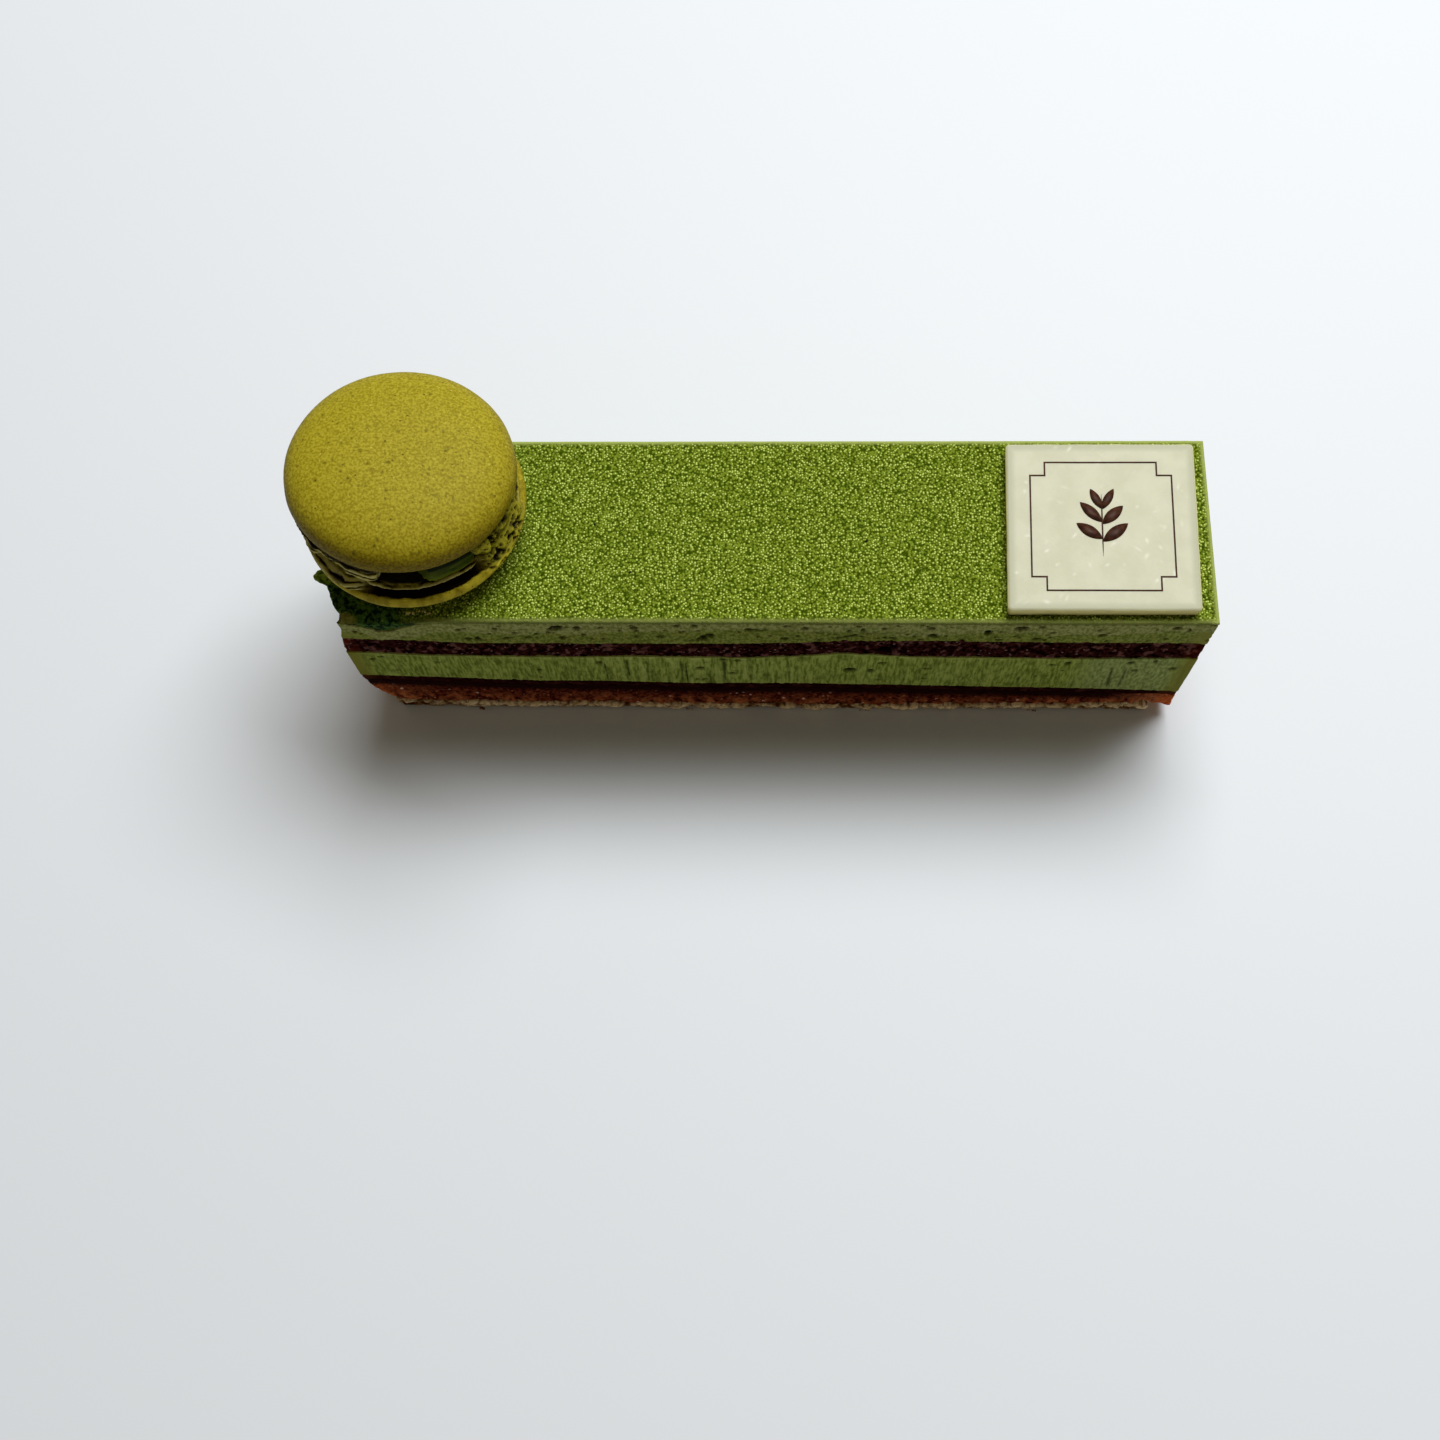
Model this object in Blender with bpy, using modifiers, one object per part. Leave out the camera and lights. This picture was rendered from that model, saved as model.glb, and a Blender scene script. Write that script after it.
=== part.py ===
"""A slice of matcha opera cake: a cut bar of seven layers that carries a macaron and a white
chocolate plaque. The front of the bar faces -Y, its length runs along X and it rests on Z = 0.

Lengths are in millimetres until a mesh is made, which MM turns into metres.
"""

import math

import bmesh
import bpy
from mathutils import Euler, Vector, noise

MM = 0.001
GAP = 0.3  # left between two pieces that touch

# The bar
BAR_LENGTH = 120.0
BAR_WIDTH = 27.6
BAR_HEIGHT = 33.0
HALF_LENGTH = BAR_LENGTH / 2
HALF_WIDTH = BAR_WIDTH / 2

# Heights between the layers along the front cut, as (place along X, height) and straight lines
# between them. The back cut shows the same lines mirrored.
HEIGHTS = {
    "floor": ((0, 0.0),),
    "base_top": (
        (-60, 3.4), (-49, 3.0), (-41, 2.7), (-34, 2.4), (-26, 2.5), (-19, 2.2), (-4, 1.9),
        (11, 1.7), (19, 1.8), (26, 2.1), (41, 2.5), (54, 2.8), (57.3, 3.2), (60, 2.3),
    ),
    "sponge_top": (
        (-60, 11.2), (-56, 10.9), (-49, 10.3), (-41, 9.7), (-34, 9.2), (-26, 9.0), (-19, 8.7),
        (-11, 8.2), (-4, 8.2), (4, 8.4), (11, 8.1), (19, 7.8), (26, 7.5), (41, 7.0), (56, 6.2),
        (60, 5.9),
    ),
    "ganache_top": (
        (-60, 13.2), (-56, 12.9), (-49, 12.3), (-41, 11.7), (-34, 11.2), (-26, 11.1), (-19, 10.8),
        (-11, 10.3), (-4, 10.3), (4, 10.5), (11, 10.1), (19, 9.8), (26, 9.5), (41, 9.0), (56, 8.1),
        (60, 7.7),
    ),
    "cream_top": (
        (-60, 21.9), (-56, 21.5), (-49, 20.8), (-41, 20.4), (-26, 20.2), (-19, 20.6), (-11, 20.3),
        (-4, 20.0), (4, 20.8), (10, 21.8), (15, 21.2), (20, 20.6), (34, 20.3), (41, 20.0), (56, 20.2),
        (60, 20.4),
    ),
    "biscuit_top": (
        (-60, 26.9), (-56, 26.5), (-49, 26.1), (-41, 25.3), (-19, 25.2), (-4, 25.3), (4, 25.8),
        (9, 26.5), (15, 26.5), (26, 26.3), (41, 26.0), (60, 25.8),
    ),
    "icing_base": ((0, 32.2),),
    "icing_top": ((0, BAR_HEIGHT),),
}

# The cut ends: the left one loses its lower corner, and the crust stops short of the right one
# How far the left end stands in, as (height, depth)
LEFT_CUT = ((0, 4.1), (3, 3.9), (4, 3.6), (5, 2.8), (6.5, 1.7), (8, 0.9), (10, 0.3), (12, 0.0))
LEFT_HOLLOW = 1.2
LEFT_HOLLOW_HEIGHT = 30.5
LEFT_HOLLOW_REACH = 4.0
CRUST_SHORT = 3.6
END_BLEND = 14.0  # how far in from an end its shape reaches

# The icing: a soft top edge, and a torn corner at the front left that sags over the cream
EDGE_DISTANCE = 1.4
ICING_EDGE_DROP = 0.25
TORN_FROM = -46.0
TORN_PLACE = -53.3  # where along X it hangs lowest, half how wide, and how deep
TORN_REACH = 4.2
TORN_SAG = 2.7
SAG_CLEARANCE = 1.15  # the cream's edge is cut this many times as deep as the icing hangs
TORN_CLEARANCE = 0.3  # and its top lies this much lower under the torn corner
FLAKE_PLACE = -6.8
FLAKE_LENGTH = 2.2

# The macaron
MACARON_RADIUS = 15.4
MACARON_STEPS = 60
CAP_HEIGHT = 5.7
FOOT_HEIGHT = 2.1
LOWER_FOOT = 1.6
BULGE = (-152.0, 30.0, 0.6)  # the foot swells at this bearing: half width in degrees, and how far
LOWER_CENTRE = (-48.4, 1.7)
UPPER_CENTRE = (-48.8, 2.8)
UPPER_RIM_HEIGHT = 44.3
UPPER_TILT = (-4.6, 4.0)  # degrees about X and about Y
LOWER_DOME = 3.9
REST_RADIUS = 6.0
FILLING_RADIUS = 13.9

# The plaque
PLAQUE_SIZE = (25.75, 25.1, 1.5)
PLAQUE_CENTRE = (44.92, -0.25)
PLAQUE_LEAN = 0.028  # how much its sides lean towards +X for each mm along Y
PLAQUE_CORNER = 0.7

# Colours as seen in plain light, 0 to 255, with roughness
FINISHES = {
    "base_crust": ((166, 138, 98), 0.85),
    "lower_sponge": ((96, 42, 24), 0.6),
    "ganache": ((34, 13, 12), 0.4),
    "lower_cream": ((124, 136, 60), 0.6),
    "upper_sponge": ((54, 25, 22), 0.75),
    "upper_cream": ((120, 128, 70), 0.6),
    "icing": ((118, 140, 38), 0.75),
    "macaron_lower": ((150, 134, 38), 0.7),
    "macaron_filling": ((64, 78, 22), 0.5),
    "macaron_upper": ((170, 158, 48), 0.65),
    "plaque": ((232, 230, 198), 0.4),
}


def clamp(value, low=0.0, high=1.0):
    return max(low, min(high, value))


def smooth(value):
    """0 below 0, 1 above 1 and an S between them."""
    t = clamp(value)
    return t * t * (3 - 2 * t)


def on_line(points, place):
    """The value at a place, on straight lines between the given (place, value) points."""
    if place <= points[0][0]:
        return points[0][1]
    for (before, low), (after, high) in zip(points, points[1:]):
        if place <= after:
            return low + (high - low) * (place - before) / (after - before)
    return points[-1][1]


def height(name, x, y):
    """Height of the boundary called name, from its front line to the mirror image at the back."""
    back = clamp(0.5 + y / BAR_WIDTH)
    return (1 - back) * on_line(HEIGHTS[name], x) + back * on_line(HEIGHTS[name], -x)


def stations(half, count, edge):
    """Cuts across a length of 2 * half: one close to each end, and count equal steps between."""
    step = (2 * half - 2 * edge) / count
    return [-half] + [-half + edge + i * step for i in range(count + 1)] + [half]


def finish(name):
    colour, roughness = FINISHES[name]
    material = bpy.data.materials.new(name)
    material.use_nodes = True
    shader = material.node_tree.nodes["Principled BSDF"]
    linear = [(c / 255) ** 2.2 for c in colour]
    shader.inputs["Base Color"].default_value = (*linear, 1.0)
    shader.inputs["Roughness"].default_value = roughness
    shader.inputs["Metallic"].default_value = 0.0
    return material


def add_piece(name, mesh, collection):
    mesh.materials.append(finish(name))
    piece = bpy.data.objects.new(name, mesh)
    collection.objects.link(piece)
    return piece


def cut_block(name, across, along, up, place, collection):
    """A block cut at the stations across (X), along (Y) and up (0 to 1), each point moved by place."""
    bm = bmesh.new()
    bmesh.ops.create_cube(bm, size=1.0)
    bmesh.ops.translate(bm, verts=bm.verts, vec=(0.5, 0.5, 0.5))
    sizes = (across[-1] - across[0], along[-1] - along[0], up[-1] - up[0])
    bmesh.ops.scale(bm, verts=bm.verts, vec=sizes)
    bmesh.ops.translate(bm, verts=bm.verts, vec=(across[0], along[0], up[0]))
    for axis, cuts in enumerate((across, along, up)):
        normal = [0.0, 0.0, 0.0]
        normal[axis] = 1.0
        for cut in cuts[1:-1]:
            point = [0.0, 0.0, 0.0]
            point[axis] = cut
            everything = bm.verts[:] + bm.edges[:] + bm.faces[:]
            bmesh.ops.bisect_plane(bm, geom=everything, plane_co=point, plane_no=normal)
    for vert in bm.verts:
        vert.co = Vector(place(*vert.co)) * MM
    bmesh.ops.triangulate(bm, faces=bm.faces[:], quad_method="SHORT_EDGE")
    mesh = bpy.data.meshes.new(name)
    bm.to_mesh(mesh)
    bm.free()
    return add_piece(name, mesh, collection)


def left_shift(y, z):
    """How far the left cut end stands in from -X at this height."""
    corner = on_line(LEFT_CUT, z) * (1 - 0.5 * clamp(0.5 + y / BAR_WIDTH))
    hollow = LEFT_HOLLOW * math.exp(-(((z - LEFT_HOLLOW_HEIGHT) / LEFT_HOLLOW_REACH) ** 2))
    return corner + hollow


def trimmed(x, y, z, short=0.0):
    """x moved in with the cut end that it is near; short is how far the piece ends before +X."""
    near_left = smooth(1 - (x + HALF_LENGTH) / END_BLEND)
    near_right = smooth(1 - (HALF_LENGTH - x) / END_BLEND)
    short *= 1 - 0.6 * clamp(0.5 + y / BAR_WIDTH)
    return x + near_left * left_shift(y, z) - near_right * short


def crumbled(value, x, y, z, depth, grain):
    """A cut side with crumb relief: the edge stations of Y move in by up to depth."""
    if abs(abs(value) - HALF_WIDTH) > 1e-4:
        return value
    crumb = noise.noise(Vector((x / grain, y, z / grain)))
    return value - math.copysign(depth * (0.5 + 0.5 * crumb), value)


def sag(x, y):
    """How far the torn icing hangs down the front and the left end."""
    front = TORN_SAG * math.exp(-(((x - TORN_PLACE) / TORN_REACH) ** 2))
    front *= clamp(1 - (y + HALF_WIDTH) / EDGE_DISTANCE)
    left = 0.6 * TORN_SAG * smooth((FLAKE_PLACE - 1.0 - y) / 2.0) * clamp((y + HALF_WIDTH) / 2)
    left *= clamp(1 - (x + HALF_LENGTH) / EDGE_DISTANCE)
    return max(front, left)


def torn_share(x, y):
    """1 in the torn corner at the front left, 0 away from it."""
    return smooth((TORN_FROM - x) / 6) * smooth((-y - 5) / 4)


def torn_stations():
    """The cuts along Y for the two top layers, closer together round the torn flake."""
    close = [FLAKE_PLACE + d for d in (-2.8, -1.4, 0.0, 1.4)]
    return sorted(stations(HALF_WIDTH, 2, EDGE_DISTANCE) + close)


def add_layer(name, lower, upper, rows, depth, grain, collection):
    """A cake layer between two boundaries, half a gap inside both."""

    def place(x, y, w):
        bottom = height(lower, x, y) + (GAP / 2 if lower != "floor" else 0.0)
        top = height(upper, x, y) - GAP / 2
        if upper == "icing_base":
            top -= SAG_CLEARANCE * sag(x, y) + TORN_CLEARANCE * torn_share(x, y)
        z = bottom + (top - bottom) * w
        return trimmed(x, y, z), crumbled(y, x, y, z, depth, grain), z

    across = stations(HALF_LENGTH, 38, EDGE_DISTANCE)
    along = torn_stations() if upper == "icing_base" else stations(HALF_WIDTH, 2, EDGE_DISTANCE)
    up = [i / rows for i in range(rows + 1)]
    return cut_block(name, across, along, up, place, collection)


def add_crust(collection):
    """The baked base: flat underneath, with a flaky outline that runs in and out under the sponge."""

    def place(x, y, w):
        z = w * (height("base_top", x, y) - GAP / 2)
        if w > 0.5:
            z += 0.12 * noise.noise(Vector((x / 1.8, y / 3, 5)))
        out = 0.55 * noise.noise(Vector((x / 2.1, 7, 0.8 * w))) + 0.2 * noise.noise(Vector((x, 3, w)))
        if abs(abs(y) - HALF_WIDTH) < 1e-4:
            y += math.copysign(out - 0.25, y)
        return trimmed(x, y, z, CRUST_SHORT), y, z

    across = stations(HALF_LENGTH, 76, EDGE_DISTANCE)
    along = stations(HALF_WIDTH, 2, EDGE_DISTANCE)
    return cut_block("base_crust", across, along, [0.0, 1.0], place, collection)


def add_icing(collection):
    """The icing: thin and even, with a soft edge all round and a torn, sagging front left corner."""

    def place(x, y, w):
        edge = min(HALF_LENGTH - abs(x), HALF_WIDTH - abs(y))
        at_edge = clamp(1 - edge / EDGE_DISTANCE)
        torn = torn_share(x, y)
        bottom = height("icing_base", x, y) + GAP / 2 - sag(x, y)
        top = height("icing_top", x, y) - ICING_EDGE_DROP * at_edge - 0.3 * sag(x, y)
        top -= 0.5 * torn * abs(noise.noise(Vector((x / 1.9, y / 1.7, 2))))
        z = bottom + (top - bottom) * w
        flake = 0.0
        if x < EDGE_DISTANCE - HALF_LENGTH - 0.1:
            flake = 0.2 + FLAKE_LENGTH * math.exp(-(((y - FLAKE_PLACE) / 1.1) ** 2))
        if abs(y + HALF_WIDTH) < 1e-4:
            y += 0.3 * torn * noise.noise(Vector((x / 1.5, 1, 4)))
        return trimmed(x, y, z) - flake, y, z

    across = stations(HALF_LENGTH, 38, EDGE_DISTANCE)
    return cut_block("icing", across, torn_stations(), [0.0, 1.0], place, collection)


def turned(name, profile, relief, collection):
    """A profile of (radius, height), given down its outer side, turned round Z and then roughened."""
    outline = bpy.data.meshes.new(name + "_outline")
    points = [(r * MM, 0.0, z * MM) for r, z in profile]
    outline.from_pydata(points, [(i, i + 1) for i in range(len(points) - 1)], [])
    guide = bpy.data.objects.new(name + "_outline", outline)
    collection.objects.link(guide)
    screw = guide.modifiers.new("Screw", "SCREW")
    screw.steps = MACARON_STEPS
    screw.render_steps = MACARON_STEPS
    screw.use_merge_vertices = True
    screw.merge_threshold = 0.00001
    bpy.context.view_layer.update()
    graph = bpy.context.evaluated_depsgraph_get()
    mesh = bpy.data.meshes.new_from_object(guide.evaluated_get(graph))
    bpy.data.objects.remove(guide)
    for vert in mesh.vertices:
        radius = math.hypot(vert.co.x, vert.co.y) / MM
        if radius > 1.0:
            angle = math.atan2(vert.co.y, vert.co.x)
            scale = (radius + relief(angle, radius, vert.co.z / MM)) / radius
            vert.co.x *= scale
            vert.co.y *= scale
    mesh.shade_smooth()
    return add_piece(name, mesh, collection)


def ruffle(angle, z, seed):
    """The frilly foot: lobes of a few millimetres with finer crags on them."""
    ring = Vector((math.cos(angle), math.sin(angle), 0))
    lobes = noise.noise(ring * 6.0 + Vector((seed, 0, z / 1.6)))
    crags = noise.noise(ring * 17.0 + Vector((0, seed, z / 0.7)))
    return 0.75 * lobes + 0.35 * crags


def swelling(angle):
    """How far the foot swells out at this bearing."""
    place, half, amount = BULGE
    away = (math.degrees(angle) - place + 180) % 360 - 180
    return amount * math.exp(-((away / half) ** 2))


def dome(radius, rise, squareness, count):
    """Points from the crown of a dome out to its widest ring."""
    points = []
    for i in range(count + 1):
        t = math.radians(90 * i / count)
        points.append((radius * math.sin(t) ** squareness, rise * math.cos(t) ** squareness))
    return points


def add_macaron_upper(collection):
    """The upper shell: a smooth cap over a frilly foot, tipped back a little."""
    profile = dome(MACARON_RADIUS, CAP_HEIGHT, 0.86, 9)
    profile += [
        (MACARON_RADIUS - 0.1, -0.35),
        (MACARON_RADIUS - 0.7, -0.65),
        (MACARON_RADIUS - 1.25, -0.75),
        (MACARON_RADIUS - 0.9, -1.2),
        (MACARON_RADIUS - 1.1, -FOOT_HEIGHT + 0.25),
        (MACARON_RADIUS - 1.7, -FOOT_HEIGHT),
        (0.0, -FOOT_HEIGHT),
    ]

    def relief(angle, radius, z):
        if z < -0.7:
            return (ruffle(angle, z, 3.0) + swelling(angle)) * clamp(radius / 13)
        return 0.12 * math.sin(3 * angle + 0.4) + 0.1 * math.sin(5 * angle + 2.0)

    shell = turned("macaron_upper", profile, relief, collection)
    shell.location = Vector((*UPPER_CENTRE, UPPER_RIM_HEIGHT)) * MM
    shell.rotation_euler = Euler([math.radians(a) for a in (*UPPER_TILT, 0)])
    return shell


def add_macaron_lower(collection):
    """The lower shell: dome down on a small flat spot, its frilly foot upwards."""
    rim = LOWER_DOME
    top = rim + 0.8 + LOWER_FOOT
    profile = [
        (0.0, top),
        (MACARON_RADIUS - 1.5, top),
        (MACARON_RADIUS - 0.9, top - 0.3),
        (MACARON_RADIUS - 0.6, top - 1.1),
        (MACARON_RADIUS - 1.2, rim + 0.85),
        (MACARON_RADIUS - 0.6, rim + 0.7),
        (MACARON_RADIUS, rim + 0.3),
    ]
    steps = 6
    for i in range(steps + 1):
        t = i / steps
        radius = MACARON_RADIUS - (MACARON_RADIUS - REST_RADIUS) * t
        profile.append((radius, rim * (1 - t ** 0.62)))
    profile.append((0.0, 0.0))

    def relief(angle, radius, z):
        if z > rim + 0.8:
            return (ruffle(angle, z, 11.0) + swelling(angle)) * clamp(radius / 13)
        return 0.15 * math.sin(2 * angle + 1.0) + 0.1 * math.sin(5 * angle)

    shell = turned("macaron_lower", profile, relief, collection)
    shell.location = Vector((*LOWER_CENTRE, BAR_HEIGHT + GAP)) * MM
    return shell


def add_macaron_filling(collection):
    """The filling: a disc whose top follows the tipped upper shell."""
    bottom = BAR_HEIGHT + GAP + LOWER_DOME + 0.8 + LOWER_FOOT + GAP
    profile = [
        (0.0, 1.0),
        (FILLING_RADIUS - 0.5, 1.0),
        (FILLING_RADIUS, 0.75),
        (FILLING_RADIUS + 0.15, 0.5),
        (FILLING_RADIUS, 0.25),
        (FILLING_RADIUS - 0.5, 0.0),
        (0.0, 0.0),
    ]

    def relief(angle, radius, z):
        return 0.1 * math.sin(4 * angle)

    disc = turned("macaron_filling", profile, relief, collection)
    centre = [(a + b) / 2 for a, b in zip(UPPER_CENTRE, LOWER_CENTRE)]
    tilt = Euler([math.radians(a) for a in (*UPPER_TILT, 0)]).to_matrix()
    up = tilt @ Vector((0, 0, 1))
    under = Vector((*UPPER_CENTRE, UPPER_RIM_HEIGHT)) - up * (FOOT_HEIGHT + GAP)
    for vert in disc.data.vertices:
        share = vert.co.z / MM
        x = vert.co.x / MM + centre[0]
        y = vert.co.y / MM + centre[1]
        ceiling = under.z - (up.x * (x - under.x) + up.y * (y - under.y)) / up.z
        vert.co = Vector((x, y, bottom + share * (ceiling - bottom))) * MM
    return disc


def add_plaque(collection):
    """The white chocolate plaque: a thin square tile with rounded corners and softened edges."""
    bm = bmesh.new()
    bmesh.ops.create_cube(bm, size=1.0)
    bmesh.ops.scale(bm, verts=bm.verts, vec=[size * MM for size in PLAQUE_SIZE])
    upright = [e for e in bm.edges if abs(e.verts[0].co.z - e.verts[1].co.z) > MM / 2]
    bmesh.ops.bevel(bm, geom=upright, offset=PLAQUE_CORNER * MM, segments=4, affect="EDGES", profile=0.5)
    for vert in bm.verts:
        vert.co.x += PLAQUE_LEAN * vert.co.y
    mesh = bpy.data.meshes.new("plaque")
    bm.to_mesh(mesh)
    bm.free()
    tile = add_piece("plaque", mesh, collection)
    tile.location = Vector((*PLAQUE_CENTRE, BAR_HEIGHT + GAP + PLAQUE_SIZE[2] / 2)) * MM
    soft = tile.modifiers.new("Soft edge", "BEVEL")
    soft.width = 0.35 * MM
    soft.segments = 2
    soft.limit_method = "ANGLE"
    soft.angle_limit = math.radians(50)
    return tile


def main():
    for obj in list(bpy.data.objects):
        bpy.data.objects.remove(obj)
    cake = bpy.data.collections.new("opera_cake")
    bpy.context.scene.collection.children.link(cake)
    add_crust(cake)
    add_layer("lower_sponge", "base_top", "sponge_top", 2, 0.5, 2.5, cake)
    add_layer("ganache", "sponge_top", "ganache_top", 1, 0.2, 6.0, cake)
    add_layer("lower_cream", "ganache_top", "cream_top", 2, 0.15, 9.0, cake)
    add_layer("upper_sponge", "cream_top", "biscuit_top", 2, 0.4, 2.2, cake)
    add_layer("upper_cream", "biscuit_top", "icing_base", 2, 0.15, 9.0, cake)
    add_icing(cake)
    add_macaron_lower(cake)
    add_macaron_filling(cake)
    add_macaron_upper(cake)
    add_plaque(cake)


main()
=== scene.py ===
import math

import bpy
import numpy as np
from mathutils import Matrix, Vector


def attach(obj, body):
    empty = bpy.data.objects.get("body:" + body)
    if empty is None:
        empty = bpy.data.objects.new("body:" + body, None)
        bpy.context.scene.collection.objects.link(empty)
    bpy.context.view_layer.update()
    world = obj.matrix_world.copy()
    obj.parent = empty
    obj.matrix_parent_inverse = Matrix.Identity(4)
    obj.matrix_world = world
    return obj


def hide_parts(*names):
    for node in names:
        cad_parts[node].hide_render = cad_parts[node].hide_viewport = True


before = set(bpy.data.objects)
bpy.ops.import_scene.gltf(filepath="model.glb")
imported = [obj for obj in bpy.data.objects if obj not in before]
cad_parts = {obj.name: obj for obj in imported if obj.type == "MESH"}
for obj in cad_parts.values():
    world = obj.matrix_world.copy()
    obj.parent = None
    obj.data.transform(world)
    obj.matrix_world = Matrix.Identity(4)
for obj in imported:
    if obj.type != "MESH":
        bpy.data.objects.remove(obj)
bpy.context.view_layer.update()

mm = 0.001  # every length below is in millimetres, and becomes metres when a mesh is made
print("frame loaded:", len(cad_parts), "nodes")


# Noise. All of it works on whole arrays of points, in millimetres, and is the same on every run.

def latticeNumber(ix, iy, iz, seed):
    # a fixed scattered number from 0 to 1 for each whole point of a lattice
    mixed = (ix * 374761393 + iy * 668265263 + iz * 1440662683 + seed * 974711) & 0xFFFFFFFF
    mixed = ((mixed ^ (mixed >> 13)) * 1274126177) & 0xFFFFFFFF
    return ((mixed ^ (mixed >> 16)) & 0xFFFFFF) / 0xFFFFFF


def softNoise(points, size, seed=0):
    # lattice numbers blended by an S curve between neighbours, from -1 to 1
    q = points / np.asarray(size, float)
    whole = np.floor(q).astype(np.int64)
    part = q - whole
    part = part * part * (3 - 2 * part)
    total = 0.0
    for corner in np.ndindex(2, 2, 2):
        weight = 1.0
        for axis in range(3):
            share = part[..., axis]
            weight = weight * (share if corner[axis] else 1 - share)
        cell = whole + np.array(corner)
        total = total + weight * latticeNumber(cell[..., 0], cell[..., 1], cell[..., 2], seed)
    return 2 * total - 1


def layeredNoise(points, size, seed=0, octaves=3, keep=0.5):
    # soft noise at a size, a half, a quarter and so on, each layer weaker, from about -1 to 1
    size = np.asarray(size, float)
    total, weight, sum_ = 0.0, 1.0, 0.0
    for octave in range(octaves):
        total = total + weight * softNoise(points, size / 2 ** octave, seed + 31 * octave)
        sum_ += weight
        weight *= keep
    return total / sum_


def cellNoise(points, size, seed=0):
    # one scattered point in each lattice cell: the distances to the nearest two, in cell sizes
    q = points / np.asarray(size, float)
    whole = np.floor(q).astype(np.int64)
    nearest = np.full(q.shape[:-1], 9.0)
    second = np.full(q.shape[:-1], 9.0)
    for offset in np.ndindex(3, 3, 3):
        cell = whole + np.array(offset) - 1
        cx, cy, cz = cell[..., 0], cell[..., 1], cell[..., 2]
        dx = cx + latticeNumber(cx, cy, cz, seed + 1) - q[..., 0]
        dy = cy + latticeNumber(cx, cy, cz, seed + 2) - q[..., 1]
        dz = cz + latticeNumber(cx, cy, cz, seed + 3) - q[..., 2]
        distance = np.sqrt(dx * dx + dy * dy + dz * dz)
        second = np.minimum(second, np.maximum(nearest, distance))
        nearest = np.minimum(nearest, distance)
    return nearest, second


def smooth(value):
    # 0 below 0, 1 above 1 and an S between them
    t = np.clip(value, 0.0, 1.0)
    return t * t * (3 - 2 * t)


def bearings(count):
    # even azimuths once round, in radians
    return np.linspace(0, 2 * np.pi, count, endpoint=False)


def hill(value, place, width):
    # a bell of height 1 at a place
    return np.exp(-(((value - place) / width) ** 2))


def onPlane(x, y):
    return np.stack([x, y, 0 * x], -1)


def spots(u, v, marks):
    # flat-bottomed dents: for each mark (u, v, half width, half height, depth) a steep round bell
    total = np.zeros(np.broadcast(u, v).shape)
    for markU, markV, halfU, halfV, depth in marks:
        away = ((u - markU) / halfU) ** 2 + ((v - markV) / halfV) ** 2
        total += depth * np.exp(-np.minimum(away ** 3, 40))
    return total


# Meshes from arrays

def makeMesh(name, points, faces, values=None, smoothShade=True):
    # faces is a list of index arrays, each (count, 3) or (count, 4)
    points = np.asarray(points, float).reshape(-1, 3) * mm
    corners = np.concatenate([f.ravel() for f in faces]).astype(np.int32)
    totals = np.concatenate([np.full(len(f), f.shape[1]) for f in faces]).astype(np.int32)
    starts = np.concatenate([[0], np.cumsum(totals)[:-1]]).astype(np.int32)
    mesh = bpy.data.meshes.new(name)
    mesh.vertices.add(len(points))
    mesh.vertices.foreach_set("co", points.astype(np.float32).ravel())
    mesh.loops.add(len(corners))
    mesh.loops.foreach_set("vertex_index", corners)
    mesh.polygons.add(len(totals))
    mesh.polygons.foreach_set("loop_start", starts)
    for key, value in (values or {}).items():
        layer = mesh.attributes.new(key, "FLOAT", "POINT")
        layer.data.foreach_set("value", np.asarray(value, np.float32).ravel())
    mesh.update(calc_edges=True)
    mesh.validate()
    if smoothShade:
        mesh.shade_smooth()
    obj = bpy.data.objects.new(name, mesh)
    bpy.context.scene.collection.objects.link(obj)
    return obj


def ringFaces(rows, columns, first=0):
    # quads between rings that run anticlockwise and follow each other upwards, so they face out
    index = first + np.arange(rows * columns).reshape(rows, columns)
    after = np.roll(index, -1, axis=1)
    return np.stack([index[:-1], after[:-1], after[1:], index[1:]], -1).reshape(-1, 4)


def poleFaces(ring, pole, upwards):
    # a fan from a ring of indices to one closing point
    after = np.roll(ring, -1)
    pair = (ring, after) if upwards else (after, ring)
    return np.stack([*pair, np.full(len(ring), pole)], -1)


def ringBody(name, rings, values=None, floor=None, roof=None):
    # a closed body of rings, with a fan to a middle point under the first and over the last
    rows, columns = rings.shape[:2]
    floor = rings[0].mean(0) if floor is None else floor
    roof = rings[-1].mean(0) if roof is None else roof
    points = np.concatenate([rings.reshape(-1, 3), [floor, roof]])
    index = np.arange(rows * columns).reshape(rows, columns)
    faces = [
        ringFaces(rows, columns),
        poleFaces(index[0], rows * columns, False),
        poleFaces(index[-1], rows * columns + 1, True),
    ]
    kept = {}
    for key, value in (values or {}).items():
        kept[key] = np.concatenate([np.broadcast_to(value, (rows, columns)).ravel(), [0, 0]])
    return makeMesh(name, points, faces, kept)


# Shader node helpers

def addNode(tree, kind, **settings):
    node = tree.nodes.new(kind)
    for key, value in settings.items():
        setattr(node, key, value)
    return node


def feed(tree, node, socket, source):
    # a source is a node's output socket, or a plain value
    target = node.inputs[socket]
    if isinstance(source, bpy.types.NodeSocket):
        tree.links.new(source, target)
    else:
        target.default_value = source


def groupOf(name, inputs, output):
    # an empty node group: inputs are (name, kind, start value), output is (name, kind)
    group = bpy.data.node_groups.new(name, "ShaderNodeTree")
    for label, kind, start in inputs:
        socket = group.interface.new_socket(name=label, in_out="INPUT", socket_type=kind)
        if start is not None:
            socket.default_value = start
    group.interface.new_socket(name=output[0], in_out="OUTPUT", socket_type=output[1])
    return group, addNode(group, "NodeGroupInput"), addNode(group, "NodeGroupOutput")


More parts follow.
